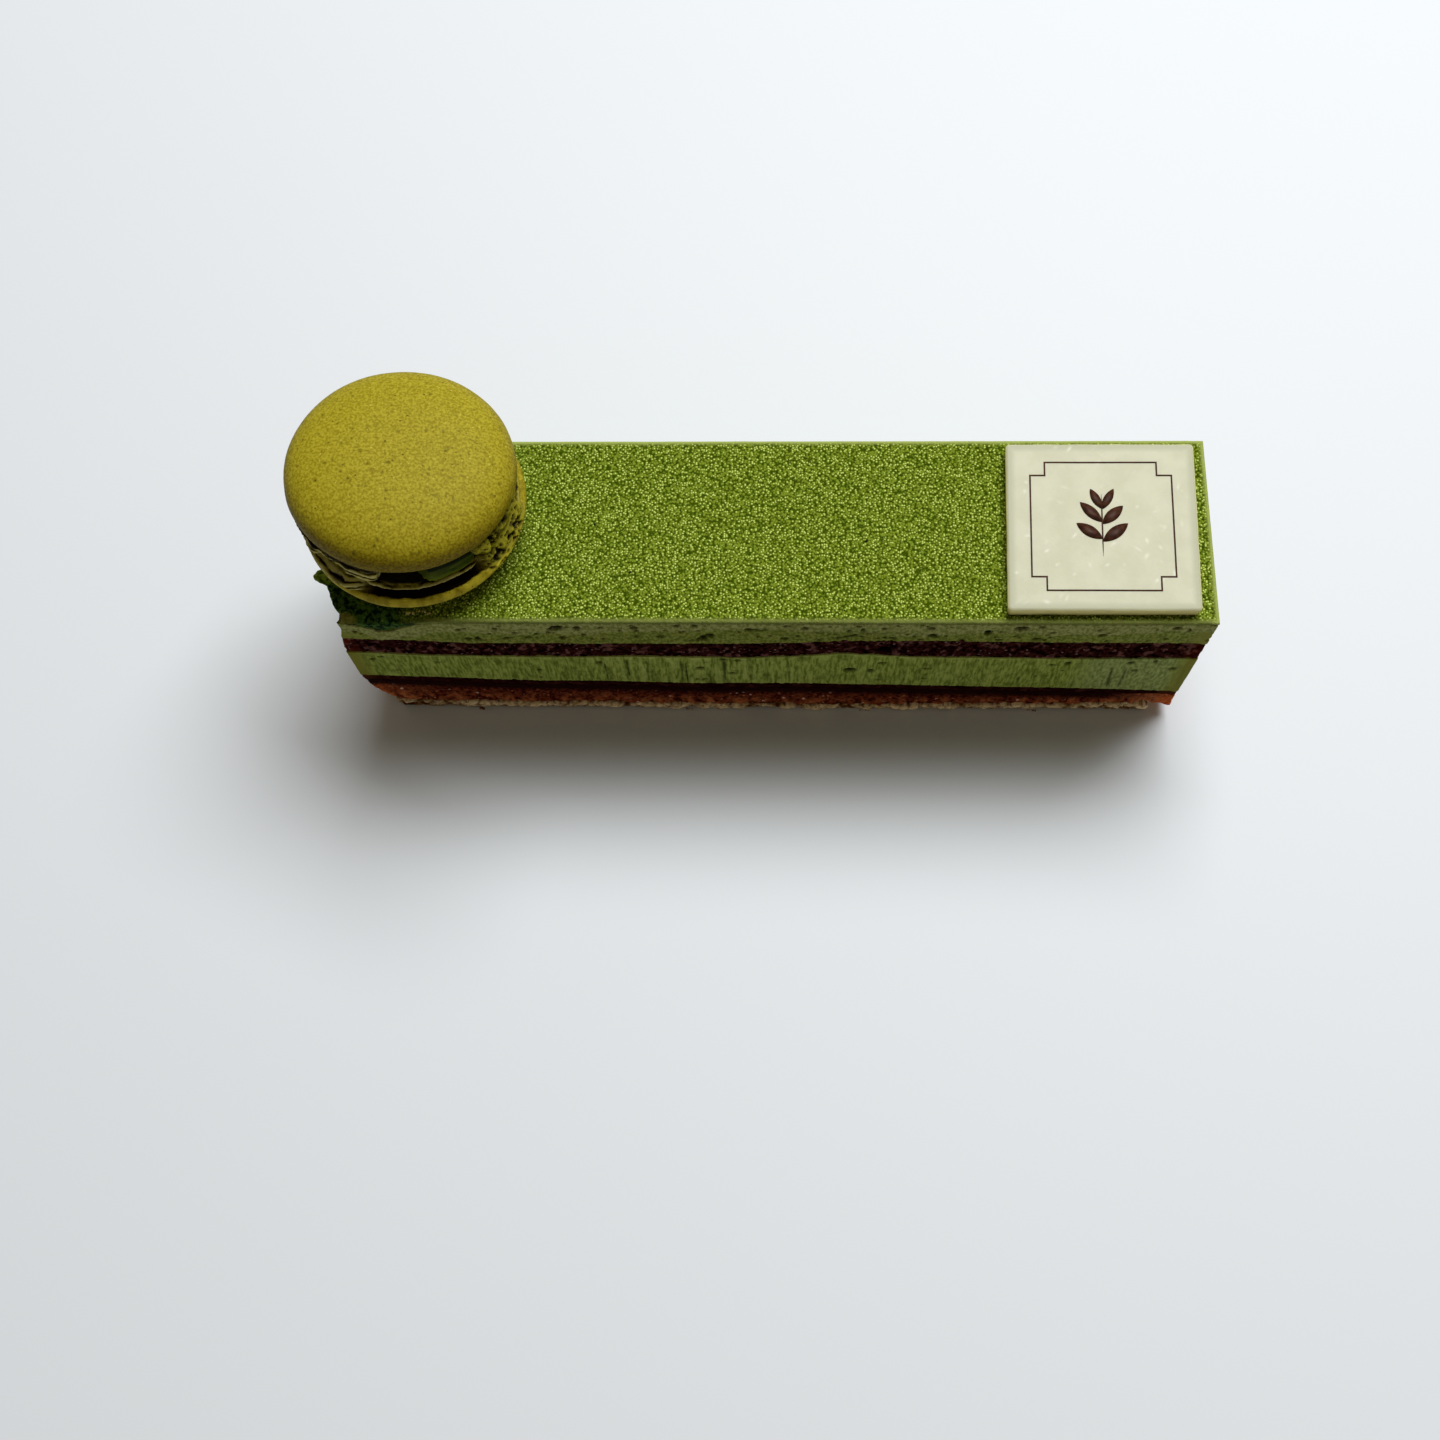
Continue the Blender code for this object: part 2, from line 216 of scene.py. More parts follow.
def mixColour(tree, share, first, second, blend="MIX"):
    node = addNode(tree, "ShaderNodeMix", data_type="RGBA", blend_type=blend, clamp_factor=True)
    feed(tree, node, 0, share)
    feed(tree, node, 6, first)
    feed(tree, node, 7, second)
    return node.outputs[2]


def ranged(tree, value, low, high, toLow=0.0, toHigh=1.0):
    node = addNode(tree, "ShaderNodeMapRange", clamp=True, interpolation_type="SMOOTHSTEP")
    for socket, source in enumerate((value, low, high, toLow, toHigh)):
        feed(tree, node, socket, source)
    return node.outputs[0]


def math2(tree, operation, first, second):
    node = addNode(tree, "ShaderNodeMath", operation=operation)
    feed(tree, node, 0, first)
    feed(tree, node, 1, second)
    return node.outputs[0]


def buildMottle():
    # two colours blended by noise of a given size, the more sharply the smaller the spread
    group, source, result = groupOf("mottle", [
        ("Vector", "NodeSocketVector", None),
        ("Dark", "NodeSocketColor", (0, 0, 0, 1)),
        ("Light", "NodeSocketColor", (1, 1, 1, 1)),
        ("Scale", "NodeSocketFloat", 500.0),
        ("Spread", "NodeSocketFloat", 0.15),
    ], ("Color", "NodeSocketColor"))
    noise = addNode(group, "ShaderNodeTexNoise", noise_dimensions="3D")
    feed(group, noise, "Vector", source.outputs["Vector"])
    feed(group, noise, "Scale", source.outputs["Scale"])
    feed(group, noise, "Detail", 3.0)
    feed(group, noise, "Roughness", 0.55)
    low = math2(group, "SUBTRACT", 0.5, source.outputs["Spread"])
    high = math2(group, "ADD", 0.5, source.outputs["Spread"])
    share = ranged(group, noise.outputs[0], low, high)
    mixed = mixColour(group, share, source.outputs["Dark"], source.outputs["Light"])
    feed(group, result, "Color", mixed)
    return group


def buildGrain():
    # a fine uneven surface height: noise, less the round holes of a cell pattern
    group, source, result = groupOf("grain", [
        ("Vector", "NodeSocketVector", None),
        ("Scale", "NodeSocketFloat", 1500.0),
        ("Holes", "NodeSocketFloat", 0.5),
    ], ("Height", "NodeSocketFloat"))
    noise = addNode(group, "ShaderNodeTexNoise", noise_dimensions="3D")
    feed(group, noise, "Vector", source.outputs["Vector"])
    feed(group, noise, "Scale", source.outputs["Scale"])
    feed(group, noise, "Detail", 2.0)
    cells = addNode(group, "ShaderNodeTexVoronoi", feature="F1")
    feed(group, cells, "Vector", source.outputs["Vector"])
    feed(group, cells, "Scale", source.outputs["Scale"])
    hole = ranged(group, cells.outputs["Distance"], 0.0, 0.45, 1.0, 0.0)
    hole = math2(group, "MULTIPLY", hole, source.outputs["Holes"])
    feed(group, result, "Height", math2(group, "SUBTRACT", noise.outputs[0], hole))
    return group


def buildSpecks():
    # round dots at scattered places: near a cell's own point, in the given share of the cells
    group, source, result = groupOf("specks", [
        ("Vector", "NodeSocketVector", None),
        ("Scale", "NodeSocketFloat", 1500.0),
        ("Radius", "NodeSocketFloat", 0.3),
        ("Share", "NodeSocketFloat", 0.5),
    ], ("Mask", "NodeSocketFloat"))
    cells = addNode(group, "ShaderNodeTexVoronoi", feature="F1")
    feed(group, cells, "Vector", source.outputs["Vector"])
    feed(group, cells, "Scale", source.outputs["Scale"])
    inner = math2(group, "MULTIPLY", source.outputs["Radius"], 0.45)
    dot = ranged(group, cells.outputs["Distance"], inner, source.outputs["Radius"], 1.0, 0.0)
    parts = addNode(group, "ShaderNodeSeparateColor")
    feed(group, parts, 0, cells.outputs["Color"])
    chosen = math2(group, "LESS_THAN", parts.outputs[0], source.outputs["Share"])
    feed(group, result, "Mask", math2(group, "MULTIPLY", dot, chosen))
    return group


mottle = buildMottle()
grain = buildGrain()
specks = buildSpecks()


def meshValue(tree, name):
    # a value that the mesh carries at each point
    return addNode(tree, "ShaderNodeAttribute", attribute_name=name).outputs["Fac"]


def coat(tree, place, look):
    # mottled colour, tinted by the mesh's values, with round dots of other colours on top
    base = addNode(tree, "ShaderNodeGroup", node_tree=mottle)
    wide = addNode(tree, "ShaderNodeVectorMath", operation="MULTIPLY")
    feed(tree, wide, 0, place)
    feed(tree, wide, 1, look.get("stretch", (1, 1, 1)))
    feed(tree, base, "Vector", wide.outputs[0])
    feed(tree, base, "Dark", (*look["dark"], 1))
    feed(tree, base, "Light", (*look["light"], 1))
    feed(tree, base, "Scale", look["mottleScale"])
    feed(tree, base, "Spread", look.get("spread", 0.15))
    colour = base.outputs[0]
    for key, tint in look.get("tints", {}).items():
        colour = mixColour(tree, meshValue(tree, key), colour, (*tint, 1))
    for scale, radius, share, strength, tint in look.get("specks", ()):
        dots = addNode(tree, "ShaderNodeGroup", node_tree=specks)
        for socket, value in (("Vector", place), ("Scale", scale), ("Radius", radius), ("Share", share)):
            feed(tree, dots, socket, value)
        amount = math2(tree, "MULTIPLY", dots.outputs[0], strength)
        colour = mixColour(tree, amount, colour, (*tint, 1))
    return colour


def foodMaterial(name, look):
    # one coat, other coats over it where the mesh says so, darkened with painted shade in pits, creases
    # and hollows and with some darker tone, with a fine bump
    material = bpy.data.materials.new(name)
    material.use_nodes = True
    tree = material.node_tree
    shader = tree.nodes["Principled BSDF"]
    place = addNode(tree, "ShaderNodeTexCoord").outputs["Object"]
    colour = coat(tree, place, look)
    for key, patch in look.get("patches", {}).items():
        colour = mixColour(tree, meshValue(tree, key), colour, coat(tree, place, patch))
    # painted shade: the pit value darkens hollows, creases, grooves and places under overhangs where
    # shade falls, and a few darker streaks
    if "shadeAndDarkToneColour" in look:
        colour = mixColour(tree, meshValue(tree, "shadeAndDarkTone"), colour, (*look["shadeAndDarkToneColour"], 1))
    feed(tree, shader, "Base Color", colour)
    shader.inputs["Roughness"].default_value = look["roughness"]
    shader.inputs["IOR"].default_value = 1.45
    shader.inputs["Specular IOR Level"].default_value = look["specular"]
    if "subsurface" in look:
        shader.inputs["Subsurface Weight"].default_value = look["subsurface"]
        shader.inputs["Subsurface Radius"].default_value = (1.0, 1.0, 0.5)
        shader.inputs["Subsurface Scale"].default_value = look["reach"] * mm
    fine = addNode(tree, "ShaderNodeGroup", node_tree=grain)
    feed(tree, fine, "Vector", place)
    feed(tree, fine, "Scale", look["grainScale"])
    feed(tree, fine, "Holes", look.get("holes", 0.5))
    bump = addNode(tree, "ShaderNodeBump")
    bump.inputs["Distance"].default_value = look["bumpDepth"] * mm
    bump.inputs["Strength"].default_value = look.get("bump", 0.6)
    feed(tree, bump, "Height", fine.outputs[0])
    tree.links.new(bump.outputs[0], shader.inputs["Normal"])
    return material


def setPiece(obj, material, node):
    obj.data.materials.clear()
    obj.data.materials.append(material)
    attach(obj, "root")
    if node:
        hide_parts(node)


# The bar: its outline, the heights between its layers and the shape of its ends

bar = {
    "length": 120.0,
    "width": 27.6,
    "height": 33.0,
    "corner": 0.35,
    # how far the left end stands in, as (height, depth), and the hollow under the icing
    "leftCut": ((0, 3.6), (3, 3.4), (4, 3.2), (5, 2.6), (6.5, 1.6), (8, 0.9), (10, 0.3), (12, 0.0)),
    "leftHollow": (30.5, 4.0, 1.2),
    "crustShort": 3.5,  # how far the crust stops short of the right end
    "endBlend": 14.0,
}
halfLength, halfWidth = bar["length"] / 2, bar["width"] / 2

# heights between the layers along the front cut, as (place along X, height); the back mirrors them
heights = {
    "floor": ((0, 0.0),),
    "baseTop": ((-60, 3.4), (-49, 3.0), (-41, 2.7), (-34, 2.4), (-26, 2.5), (-19, 2.2), (-4, 1.9),
                (11, 1.7), (19, 1.8), (26, 2.1), (41, 2.5), (54, 2.8), (57.3, 3.2), (58.6, 2.2),
                (60, 2.1)),
    "spongeTop": ((-60, 11.2), (-56, 10.9), (-49, 10.3), (-41, 9.7), (-34, 9.2), (-26, 9.0), (-19, 8.7),
                  (-11, 8.2), (-4, 8.2), (4, 8.4), (11, 8.1), (19, 7.8), (26, 7.5), (41, 7.0),
                  (56, 6.2), (60, 5.9)),
    "ganacheTop": ((-60, 13.2), (-56, 12.9), (-49, 12.3), (-41, 11.7), (-34, 11.2), (-26, 11.1),
                   (-19, 10.8), (-11, 10.3), (-4, 10.3), (4, 10.5), (11, 10.1), (19, 9.8), (26, 9.5),
                   (41, 9.0), (56, 8.1), (60, 7.7)),
    "creamTop": ((-60, 21.9), (-56, 21.5), (-49, 20.8), (-41, 20.4), (-26, 20.2), (-19, 20.6),
                 (-11, 20.3), (-4, 20.0), (4, 20.8), (10, 21.8), (15, 21.2), (20, 20.6), (34, 20.3),
                 (41, 20.0), (56, 20.2), (60, 20.4)),
    "biscuitTop": ((-60, 26.9), (-56, 26.5), (-49, 26.1), (-41, 25.3), (-19, 25.2), (-4, 25.3),
                   (4, 25.8), (9, 26.5), (15, 26.5), (26, 26.3), (41, 26.0), (60, 25.8)),
    "icingBase": ((0, 32.2),),
}
# the ragged teeth of an edge: height, size and seed
teeth = {"baseTop": (0.38, 1.1, 7), "spongeTop": (0.16, 0.9, 9), "ganacheTop": (0.20, 0.6, 10),
         "creamTop": (0.17, 0.8, 8), "biscuitTop": (0.34, 0.8, 11)}


def boundary(name, x, y):
    # the front line and its mirror image behind, blended across the bar, with its corners rounded
    places, levels = np.array(heights[name], float).T
    back = np.clip(0.5 + y / bar["width"], 0, 1)
    total = 0.0
    for shift in (-1.2, 0, 1.2):
        front, behind = np.interp(x + shift, places, levels), np.interp(shift - x, places, levels)
        total = total + ((1 - back) * front + back * behind) / 3
    if name in teeth:
        amount, size, seed = teeth[name]
        total = total + amount * layeredNoise(onPlane(x, y), size, seed, octaves=3, keep=0.7)
    return total


def trimmed(x, y, z, short=None):
    # x moved in with the cut end that it is near; the crust also stops short of the right end
    back = np.clip(0.5 + y / bar["width"], 0, 1)
    levels, depths = np.array(bar["leftCut"], float).T
    level, reach, depth = bar["leftHollow"]
    left = np.interp(z, levels, depths) * (1 - 0.5 * back) + depth * hill(z, level, reach)
    right = 0.0 if short is None else short * (1 - 0.6 * back)
    nearLeft = smooth(1 - (x + halfLength) / bar["endBlend"])
    nearRight = smooth(1 - (halfLength - x) / bar["endBlend"])
    return x + nearLeft * left - nearRight * right


def barRing(step):
    # the outline from above, anticlockwise: four sides with a small quarter round between them
    corner = bar["corner"]
    sides = (
        ((-1, -1), (1, 0), halfLength), ((1, -1), (0, 1), halfWidth),
        ((1, 1), (-1, 0), halfLength), ((-1, 1), (0, -1), halfWidth),
    )
    places, normals = [], []
    for (cornerX, cornerY), (alongX, alongY), half in sides:
        count = int(2 * (half - corner) / step)
        run = np.linspace(corner, 2 * half - corner, count)
        start = np.array([cornerX * halfLength, cornerY * halfWidth])
        along = np.array([alongX, alongY])
        outward = np.array([alongY, -alongX])
        places.append(start + run[:, None] * along)
        normals.append(np.tile(outward, (count, 1)))
        turn = np.radians([22.5, 45.0, 67.5])[:, None]
        pivot = start + (2 * half - corner) * along - corner * outward
        ray = np.cos(turn) * outward + np.sin(turn) * along
        places.append(pivot + corner * ray)
        normals.append(ray)
    return np.concatenate(places), np.concatenate(normals)


def cakeLayer(name, low, high, step, rows, relief, tuck, short):
    # rings round the bar from one boundary up to the next; each point moves out by the relief,
    # and the first and last rows turn inwards under the neighbouring layers
    place, normal = barRing(step)
    x, y = place.T
    bottom, top = boundary(low, x, y), boundary(high, x, y)
    if high == "icingBase":
        top = top - 1.1 * sag(x, y)
    w = np.linspace(0, 1, rows)[:, None]
    z = bottom + (top - bottom) * w
    points = np.stack([trimmed(x, y, z, short), np.broadcast_to(y, z.shape), z], -1)
    values = relief(points, z - bottom, top - z)
    edge = np.minimum(z - bottom, top - z)
    out = values.pop("out") - tuck * np.exp(-((edge / 0.12) ** 2))
    out = out + 0.12 * smooth((x - 58.5) / 1.0)
    points[..., :2] += out[..., None] * normal
    points[..., 0] = np.minimum(points[..., 0], halfLength)
    inner = points[[0, -1]].copy()
    inner[..., :2] -= 1.5 * normal
    rings = np.concatenate([inner[:1], points, inner[1:]])
    rings[..., 2] = np.maximum(rings[..., 2], 0)
    values = {key: np.concatenate([value[:1], value, value[-1:]]) for key, value in values.items()}
    return ringBody(name, rings, values)


# The torn front left corner of the icing

icing = {
    "step": 0.21,
    "tornFrom": -46.0,  # where along X the torn corner starts
    "tornPlace": -53.3,  # where it hangs lowest, half how wide, and how deep
    "tornReach": 4.0,
    "sag": 2.6,
    "sagReach": 1.4,
    "flakePlace": -6.9,
    "flakeLength": 2.0,
    "stipple": 0.10,  # height of the sprayed grains, and from one grain to the next
    "stippleSize": 0.55,
}


def sag(x, y):
    # how far the torn icing hangs: a bell on the front, a step on the left end
    front = icing["sag"] * hill(x, icing["tornPlace"], icing["tornReach"])
    front = front * np.clip(1 - (y + halfWidth) / icing["sagReach"], 0, 1)
    left = 0.6 * icing["sag"] * smooth((icing["flakePlace"] - 1.0 - y) / 2.0)
    left = left * np.clip((y + halfWidth) / 2, 0, 1)
    left = left * np.clip(1 - (x + halfLength) / icing["sagReach"], 0, 1)
    return np.maximum(front, left)


def bareShare(x, y):
    # 1 in the small triangle at the very corner where the icing is gone and the cream shows
    wobble = softNoise(onPlane(x, y), (0.8, 0.8, 1), 79)
    border = -12.2 - 2.2 * (x + halfLength) / 8 + 0.4 * wobble
    return smooth((border - y) / 0.5 + 0.5) * smooth((-56.5 - x) / 1.5)


def tornShare(x, y):
    return smooth((icing["tornFrom"] - x) / 6) * smooth((-y - 5) / 4)


# The cut sides. Each relief gives how far a point moves out, and the values that colour it

def sideways(points):
    # distance along the cut side: x on the front, x + 500 on the back, y + 300 on the ends
    atEnd = np.abs(points[..., 0]) > halfLength - 4
    onFace = np.abs(np.abs(points[..., 1]) - halfWidth) < 0.5
    return np.where(atEnd & ~onFace, points[..., 1] + 300, points[..., 0] + 500 * (points[..., 1] > 0))


def onCut(points):
    # the distance along the cut side, the height, and both as a flat place for the noise
    along, z = sideways(points), points[..., 2]
    return along, z, np.stack([along, 0 * z, z], -1)


def bubbleMarks(seed, count, low, high, shown):
    # the bubbles that show at the front, each (along, height, radius), and scattered ones everywhere
    rng = np.random.default_rng(seed)
    marks = [(along, level, 1.5 * size, 1.15 * size, 1.0) for along, level, size in shown]
    for start, length in ((-60, 120), (440, 120), (286, 28)):
        for _ in range(max(3, int(count * length / 120))):
            size = 0.19 + 0.34 * rng.random() ** 3
            marks.append((start + length * rng.random(), low + (high - low) * rng.random(),
                          size * (0.9 + 0.5 * rng.random()), size * (0.8 + 0.4 * rng.random()), 1.0))
    return marks


cream = {
    "waviness": 0.07,
    "grainHeight": 0.03,
    "strokeHeight": 0.07,
    "pitDepth": 0.5,
    "upperBubbles": 90,  # scattered ones on each long side
    "lowerBubbles": 14,
    # scratches: place, lean, half width, from and up to what height
    "scratches": ((-23.6, 0.0, 0.10, 11.5, 18.5), (-20.4, 0.0, 0.10, 12.7, 19.7),
                  (-12.7, 0.0, 0.12, 10.8, 19.8), (-12.0, 0.0, 0.10, 10.4, 19.0),
                  (-6.5, 0.0, 0.20, 10.9, 19.8), (36.0, 0.0, 0.10, 10.8, 14.0),
                  (49.3, -0.06, 0.15, 9.0, 17.4), (50.9, -0.01, 0.13, 9.0, 16.8)),
    "upperShown": ((-29.0, 30.7, 0.60), (-41.7, 26.9, 0.35), (-36.3, 27.2, 0.30), (-57.0, 29.3, 0.30),
                   (-52.6, 30.4, 0.30), (-53.8, 29.6, 0.25), (-18.4, 30.8, 0.35), (-9.1, 28.0, 0.30),
                   (-2.8, 30.3, 0.40), (-12.6, 31.5, 0.30), (2.4, 31.5, 0.30), (4.9, 30.7, 0.35),
                   (2.0, 27.3, 0.35), (21.9, 30.7, 0.40), (29.7, 29.8, 0.35), (34.0, 30.8, 0.60),
                   (36.7, 31.4, 0.30), (45.3, 28.7, 0.40), (54.8, 31.1, 0.35)),
    "lowerShown": ((-55.4, 20.2, 0.30), (-47.7, 18.3, 0.30), (-33.2, 15.4, 0.30), (-24.4, 18.3, 0.30),
                   (-5.5, 14.4, 0.35), (-4.6, 19.1, 0.35), (-6.6, 19.4, 0.35), (11.5, 15.6, 0.65),
                   (22.4, 16.3, 0.35), (22.4, 12.5, 0.30), (15.8, 11.9, 0.30), (15.9, 18.3, 0.30),
                   (57.3, 16.6, 0.35), (51.0, 18.6, 0.35), (40.0, 17.8, 0.30), (52.1, 15.8, 0.35)),
}


def upperCreamRelief(points, fromLow, fromHigh):
    # smeared and nearly flat, lighter down to a wavy border, with round bubbles; a rough patch where
    # crumb was dragged across it
    along, z, flat = onCut(points)
    smear = layeredNoise(flat, (2.6, 1, 0.4), 5)
    fine = layeredNoise(flat, (0.6, 1, 0.4), 8, 3, 0.8)
    out = cream["waviness"] * layeredNoise(flat, (7, 5, 2.5), 3) + 0.04 * smear
    out += cream["grainHeight"] * fine
    wobble = 0.12 * softNoise(flat, (0.5, 1, 0.5), 7)
    marks = bubbleMarks(21, cream["upperBubbles"], 26.5, 31.9, cream["upperShown"])
    bubbles = np.clip(spots(along + wobble, z + wobble, marks), 0, 1)
    patch = hill(along, 13.0, 8.0) * smooth(1.5 - fromLow / 3.4)
    rough = layeredNoise(flat, (0.9, 1, 0.6), 9, 3, 0.6)
    out += -cream["pitDepth"] * bubbles + 0.30 * patch * rough
    border = 3.0 + 1.6 * layeredNoise(flat * [1, 1, 0], (7, 1, 1), 15, 3, 0.6)
    tone = np.clip(0.85 * smooth((border - fromHigh) / 1.0 + 0.5) + 0.25 * smear + 0.35 * fine, 0, 1)
    # painted shade in the bubbles and the low places of the rough patch, and a few darker smears
    shadeAndDarkTone = bubbles + 0.9 * patch * smooth(-2.6 * rough - 0.15) + 0.25 * smooth(-3 * smear - 1.2)
    shadeAndDarkTone = np.clip(shadeAndDarkTone, 0, 1)
    return {"out": out, "shadeAndDarkTone": shadeAndDarkTone, "tone": tone * (1 - 0.6 * patch), "end": endShare(points)}


def frontShare(points):
    # 1 on the front cut, less on the ends and the back
    return 0.3 + 0.7 * smooth((-points[..., 1] - 12.3) / 1.2)


def endShare(points):
    # 1 close to either end of the front cut
    return smooth((np.abs(points[..., 0]) - 56.5) / 3) * frontShare(points)


def lowerCreamRelief(points, fromLow, fromHigh):
    # fine upright knife strokes, and a few deep scratches and small pits painted dark as shade; painted
    # highlights as a pale line along the upper edge and small light teeth along the lower one
    along, z, flat = onCut(points)
    strokes = layeredNoise(flat, (0.45, 1, 7.0), 31, 2, 0.8)
    where = smooth(0.25 + 0.9 * softNoise(flat, (12, 1, 30), 33) + 0.9 * hill(along, -12, 14))
    fine = layeredNoise(flat, (0.5, 1, 0.6), 36, 3, 0.8)
    out = cream["waviness"] * layeredNoise(flat, (8, 5, 5), 35)
    out += cream["strokeHeight"] * strokes * (0.2 + 0.8 * where) + cream["grainHeight"] * fine
    scratch = np.zeros_like(out)
    for place, lean, width, low, high in cream["scratches"]:
        line = hill(along - lean * (z - low), place + 0.08 * softNoise(flat, (9, 9, 1.2), 39), width)
        scratch += line * smooth((z - low) / 1.0) * smooth((high - z) / 1.5)
    wobble = 0.12 * softNoise(flat, (0.5, 1, 0.5), 37)
    marks = bubbleMarks(22, cream["lowerBubbles"], 11.0, 19.8, cream["lowerShown"])
    bubbles = np.clip(spots(along + wobble, z + wobble, marks), 0, 1)
    out += -cream["pitDepth"] * bubbles - 0.22 * scratch
    ridge = np.clip(2.0 * strokes, -1, 1) * (0.3 + 0.5 * where)
    # painted highlight: a pale line along the upper edge and light teeth along the lower edge
    edgeHighlight = 0.7 * smooth(1 - fromLow / 0.45) + 0.6 * smooth(1 - fromHigh / 0.5)
    tone = np.clip(edgeHighlight + 0.7 * np.clip(ridge, 0, 1) + 0.3 * fine, 0, 1)
    # painted shade in the bubbles, the scratches and the grooves between strokes, with a little darker
    # tone at random
    shadeAndDarkTone = bubbles + 0.9 * scratch + 0.36 * np.clip(-ridge, 0, 1) + 0.25 * np.clip(-fine, 0, 1)
    shadeAndDarkTone = np.clip(shadeAndDarkTone, 0, 1)
    grey = 0.8 * smooth((along - 42) / 6) * smooth((59 - along) / 3) * (np.abs(along) < 70)
    return {"out": out, "shadeAndDarkTone": shadeAndDarkTone, "tone": tone, "grey": grey, "end": endShare(points)}


def crumbRelief(seed, pore, depth, lump):
    # lumps of crumb, less the round holes of a cell pattern and the narrow valleys between cells
    def relief(points, fromLow, fromHigh):
        nearest, second = cellNoise(points, pore, seed)
        hole = smooth(1 - nearest / 0.42)
        valley = smooth(1 - (second - nearest) / 0.25)
        lumps = layeredNoise(points, lump, seed + 5, 4, 0.65)
        big = smooth(1.6 * layeredNoise(points, lump * 2.6, seed + 9, 2) + 0.1)
        out = 0.55 * depth * lumps - depth * (0.8 * hole + 0.35 * valley) * (0.4 + 0.6 * big) - 0.12
        # painted shade in the round holes, the valleys between cells and the low places between lumps
        shadeAndDarkTone = 0.8 * hole * (0.3 + 0.7 * big) + 0.4 * valley + 0.4 * np.clip(-2 * lumps, 0, 1)
        shadeAndDarkTone = np.clip(shadeAndDarkTone, 0, 1)
        tone = smooth(3.2 * layeredNoise(points, (0.75, 0.75, 1.1), seed + 13, 2, 0.8) - 0.35)
        return {"out": out, "shadeAndDarkTone": shadeAndDarkTone, "tone": tone * (1 - 0.7 * hole)}
    return relief


def darkSpongeRelief(points, fromLow, fromHigh):
    # open dark crumb, with one hollow at the front and a redder cut at the ends
    values = crumbRelief(41, (0.8, 0.8, 0.6), 0.34, 0.7)(points, fromLow, fromHigh)
    along, z, _ = onCut(points)
    ragged = 0.25 * layeredNoise(points, 0.8, 47, 2)
    marks = ((16.3, 22.8, 1.2, 1.1, 1.0), (516.3, 23.4, 1.0, 0.9, 1.0))
    hollow = spots(along + ragged, z + ragged, marks)
    values["out"] = values["out"] - 1.3 * hollow
    # painted shade in the hollow
    values["shadeAndDarkTone"] = np.clip(values["shadeAndDarkTone"] + hollow, 0, 1)
    mixed = 0.5 + 0.8 * layeredNoise(points, 1.0, 49, 3, 0.7)
    ends = smooth((-points[..., 0] - 57) / 3) + 0.4 * smooth((points[..., 0] - 57) / 2)
    values["end"] = np.clip(ends * mixed, 0, 1)
    return values


def ganacheRelief(points, fromLow, fromHigh):
    # soft and even, with small drags of the knife
    _, _, flat = onCut(points)
    out = 0.06 * layeredNoise(flat, (3, 1, 0.8), 51) + 0.04 * layeredNoise(flat, (0.6, 1, 0.4), 53) - 0.14
    tone = np.clip(2.5 * softNoise(flat, (0.7, 1, 0.5), 55) - 0.9, 0, 1)
    return {"out": out, "tone": tone, "end": endShare(points)}


def moistRelief(points, fromLow, fromHigh):
    # soaked crumb: coarse lumps, with looser and brighter crumbs at the lower edge and both ends
    values = crumbRelief(61, (1.1, 1.1, 0.8), 0.36, 0.9)(points, fromLow, fromHigh)
    low = smooth(1 - fromLow / 4.0)
    ragged = layeredNoise(points, (1.5, 1.5, 0.9), 66, 3, 0.6)
    values["out"] = values["out"] + 0.4 * smooth(1 - fromLow / 1.8) * ragged + 0.1 * low
    x = points[..., 0]
    right = smooth((x - 46) / 13) * frontShare(points)
    left = smooth((-x - 48) / 9)
    blotch = layeredNoise(points, (1.0, 1.0, 1.8), 68, 3, 0.7)
    bright = low * (0.20 + 2.0 * blotch) + right * (0.80 + 0.9 * blotch) + left * (0.35 + 0.8 * blotch)
    dark = 0.95 * smooth(1.25 - fromHigh / 2.6) * (1 - 0.9 * right)
    values["tone"] = np.clip(0.30 * values["tone"] + bright, 0, 1) * (1 - dark)
    values["shadeAndDarkTone"] = np.clip(values["shadeAndDarkTone"] * (1 - 0.5 * low) + dark, 0, 1)
    values["end"] = np.clip(smooth((x - 57) / 2) + 0.6 * smooth((-x - 55) / 4), 0, 1) * frontShare(points)
    return values


def crustRelief(points, fromLow, fromHigh):
    # thin light plates that stand out as a wavy ledge under the sponge, over a rougher, browner side
    # with cracks and gaps
    ledgeLine = 0.75 + 0.45 * layeredNoise(points * [1, 1, 0], (2.0, 2.0, 1), 70, 2)
    ledge = smooth(1.2 - np.abs(fromHigh - ledgeLine) / 1.1)
    plates = layeredNoise(points * [1, 1, 0.3], (2.4, 2.4, 1.0), 71, 3, 0.65)
    nearest, second = cellNoise(points, (1.5, 1.5, 0.7), 74)
    crack = smooth(1 - (second - nearest) / 0.18)
    crumb = layeredNoise(points, 0.6, 75, 3, 0.7)
    reach = np.clip(0.25 + 0.7 * plates, -0.4, 0.55)
    out = reach * ledge + (0.5 * reach - 0.25) * (1 - ledge) - 0.22 * crack + 0.10 * crumb
    # the ledge is lighter for the plates' pale colour and for painted light on their upward faces; the
    # cracks, gaps and low crumbs are darkened with painted shade, and the side below the ledge is a
    # little darker
    gap = smooth(-4 * plates - 0.7)
    tone = ledge * smooth(0.55 + 1.4 * plates) + 0.5 * smooth(2.5 * crumb - 0.4)
    tone = np.clip(tone, 0, 1) * (1 - gap)
    shadeAndDarkTone = 0.7 * crack + 0.9 * gap + 0.5 * smooth(-3 * crumb - 0.2) + 0.3 * (1 - ledge)
    shadeAndDarkTone = np.clip(shadeAndDarkTone, 0, 1)
    return {"out": np.minimum(out, 0.6), "shadeAndDarkTone": shadeAndDarkTone, "tone": tone}


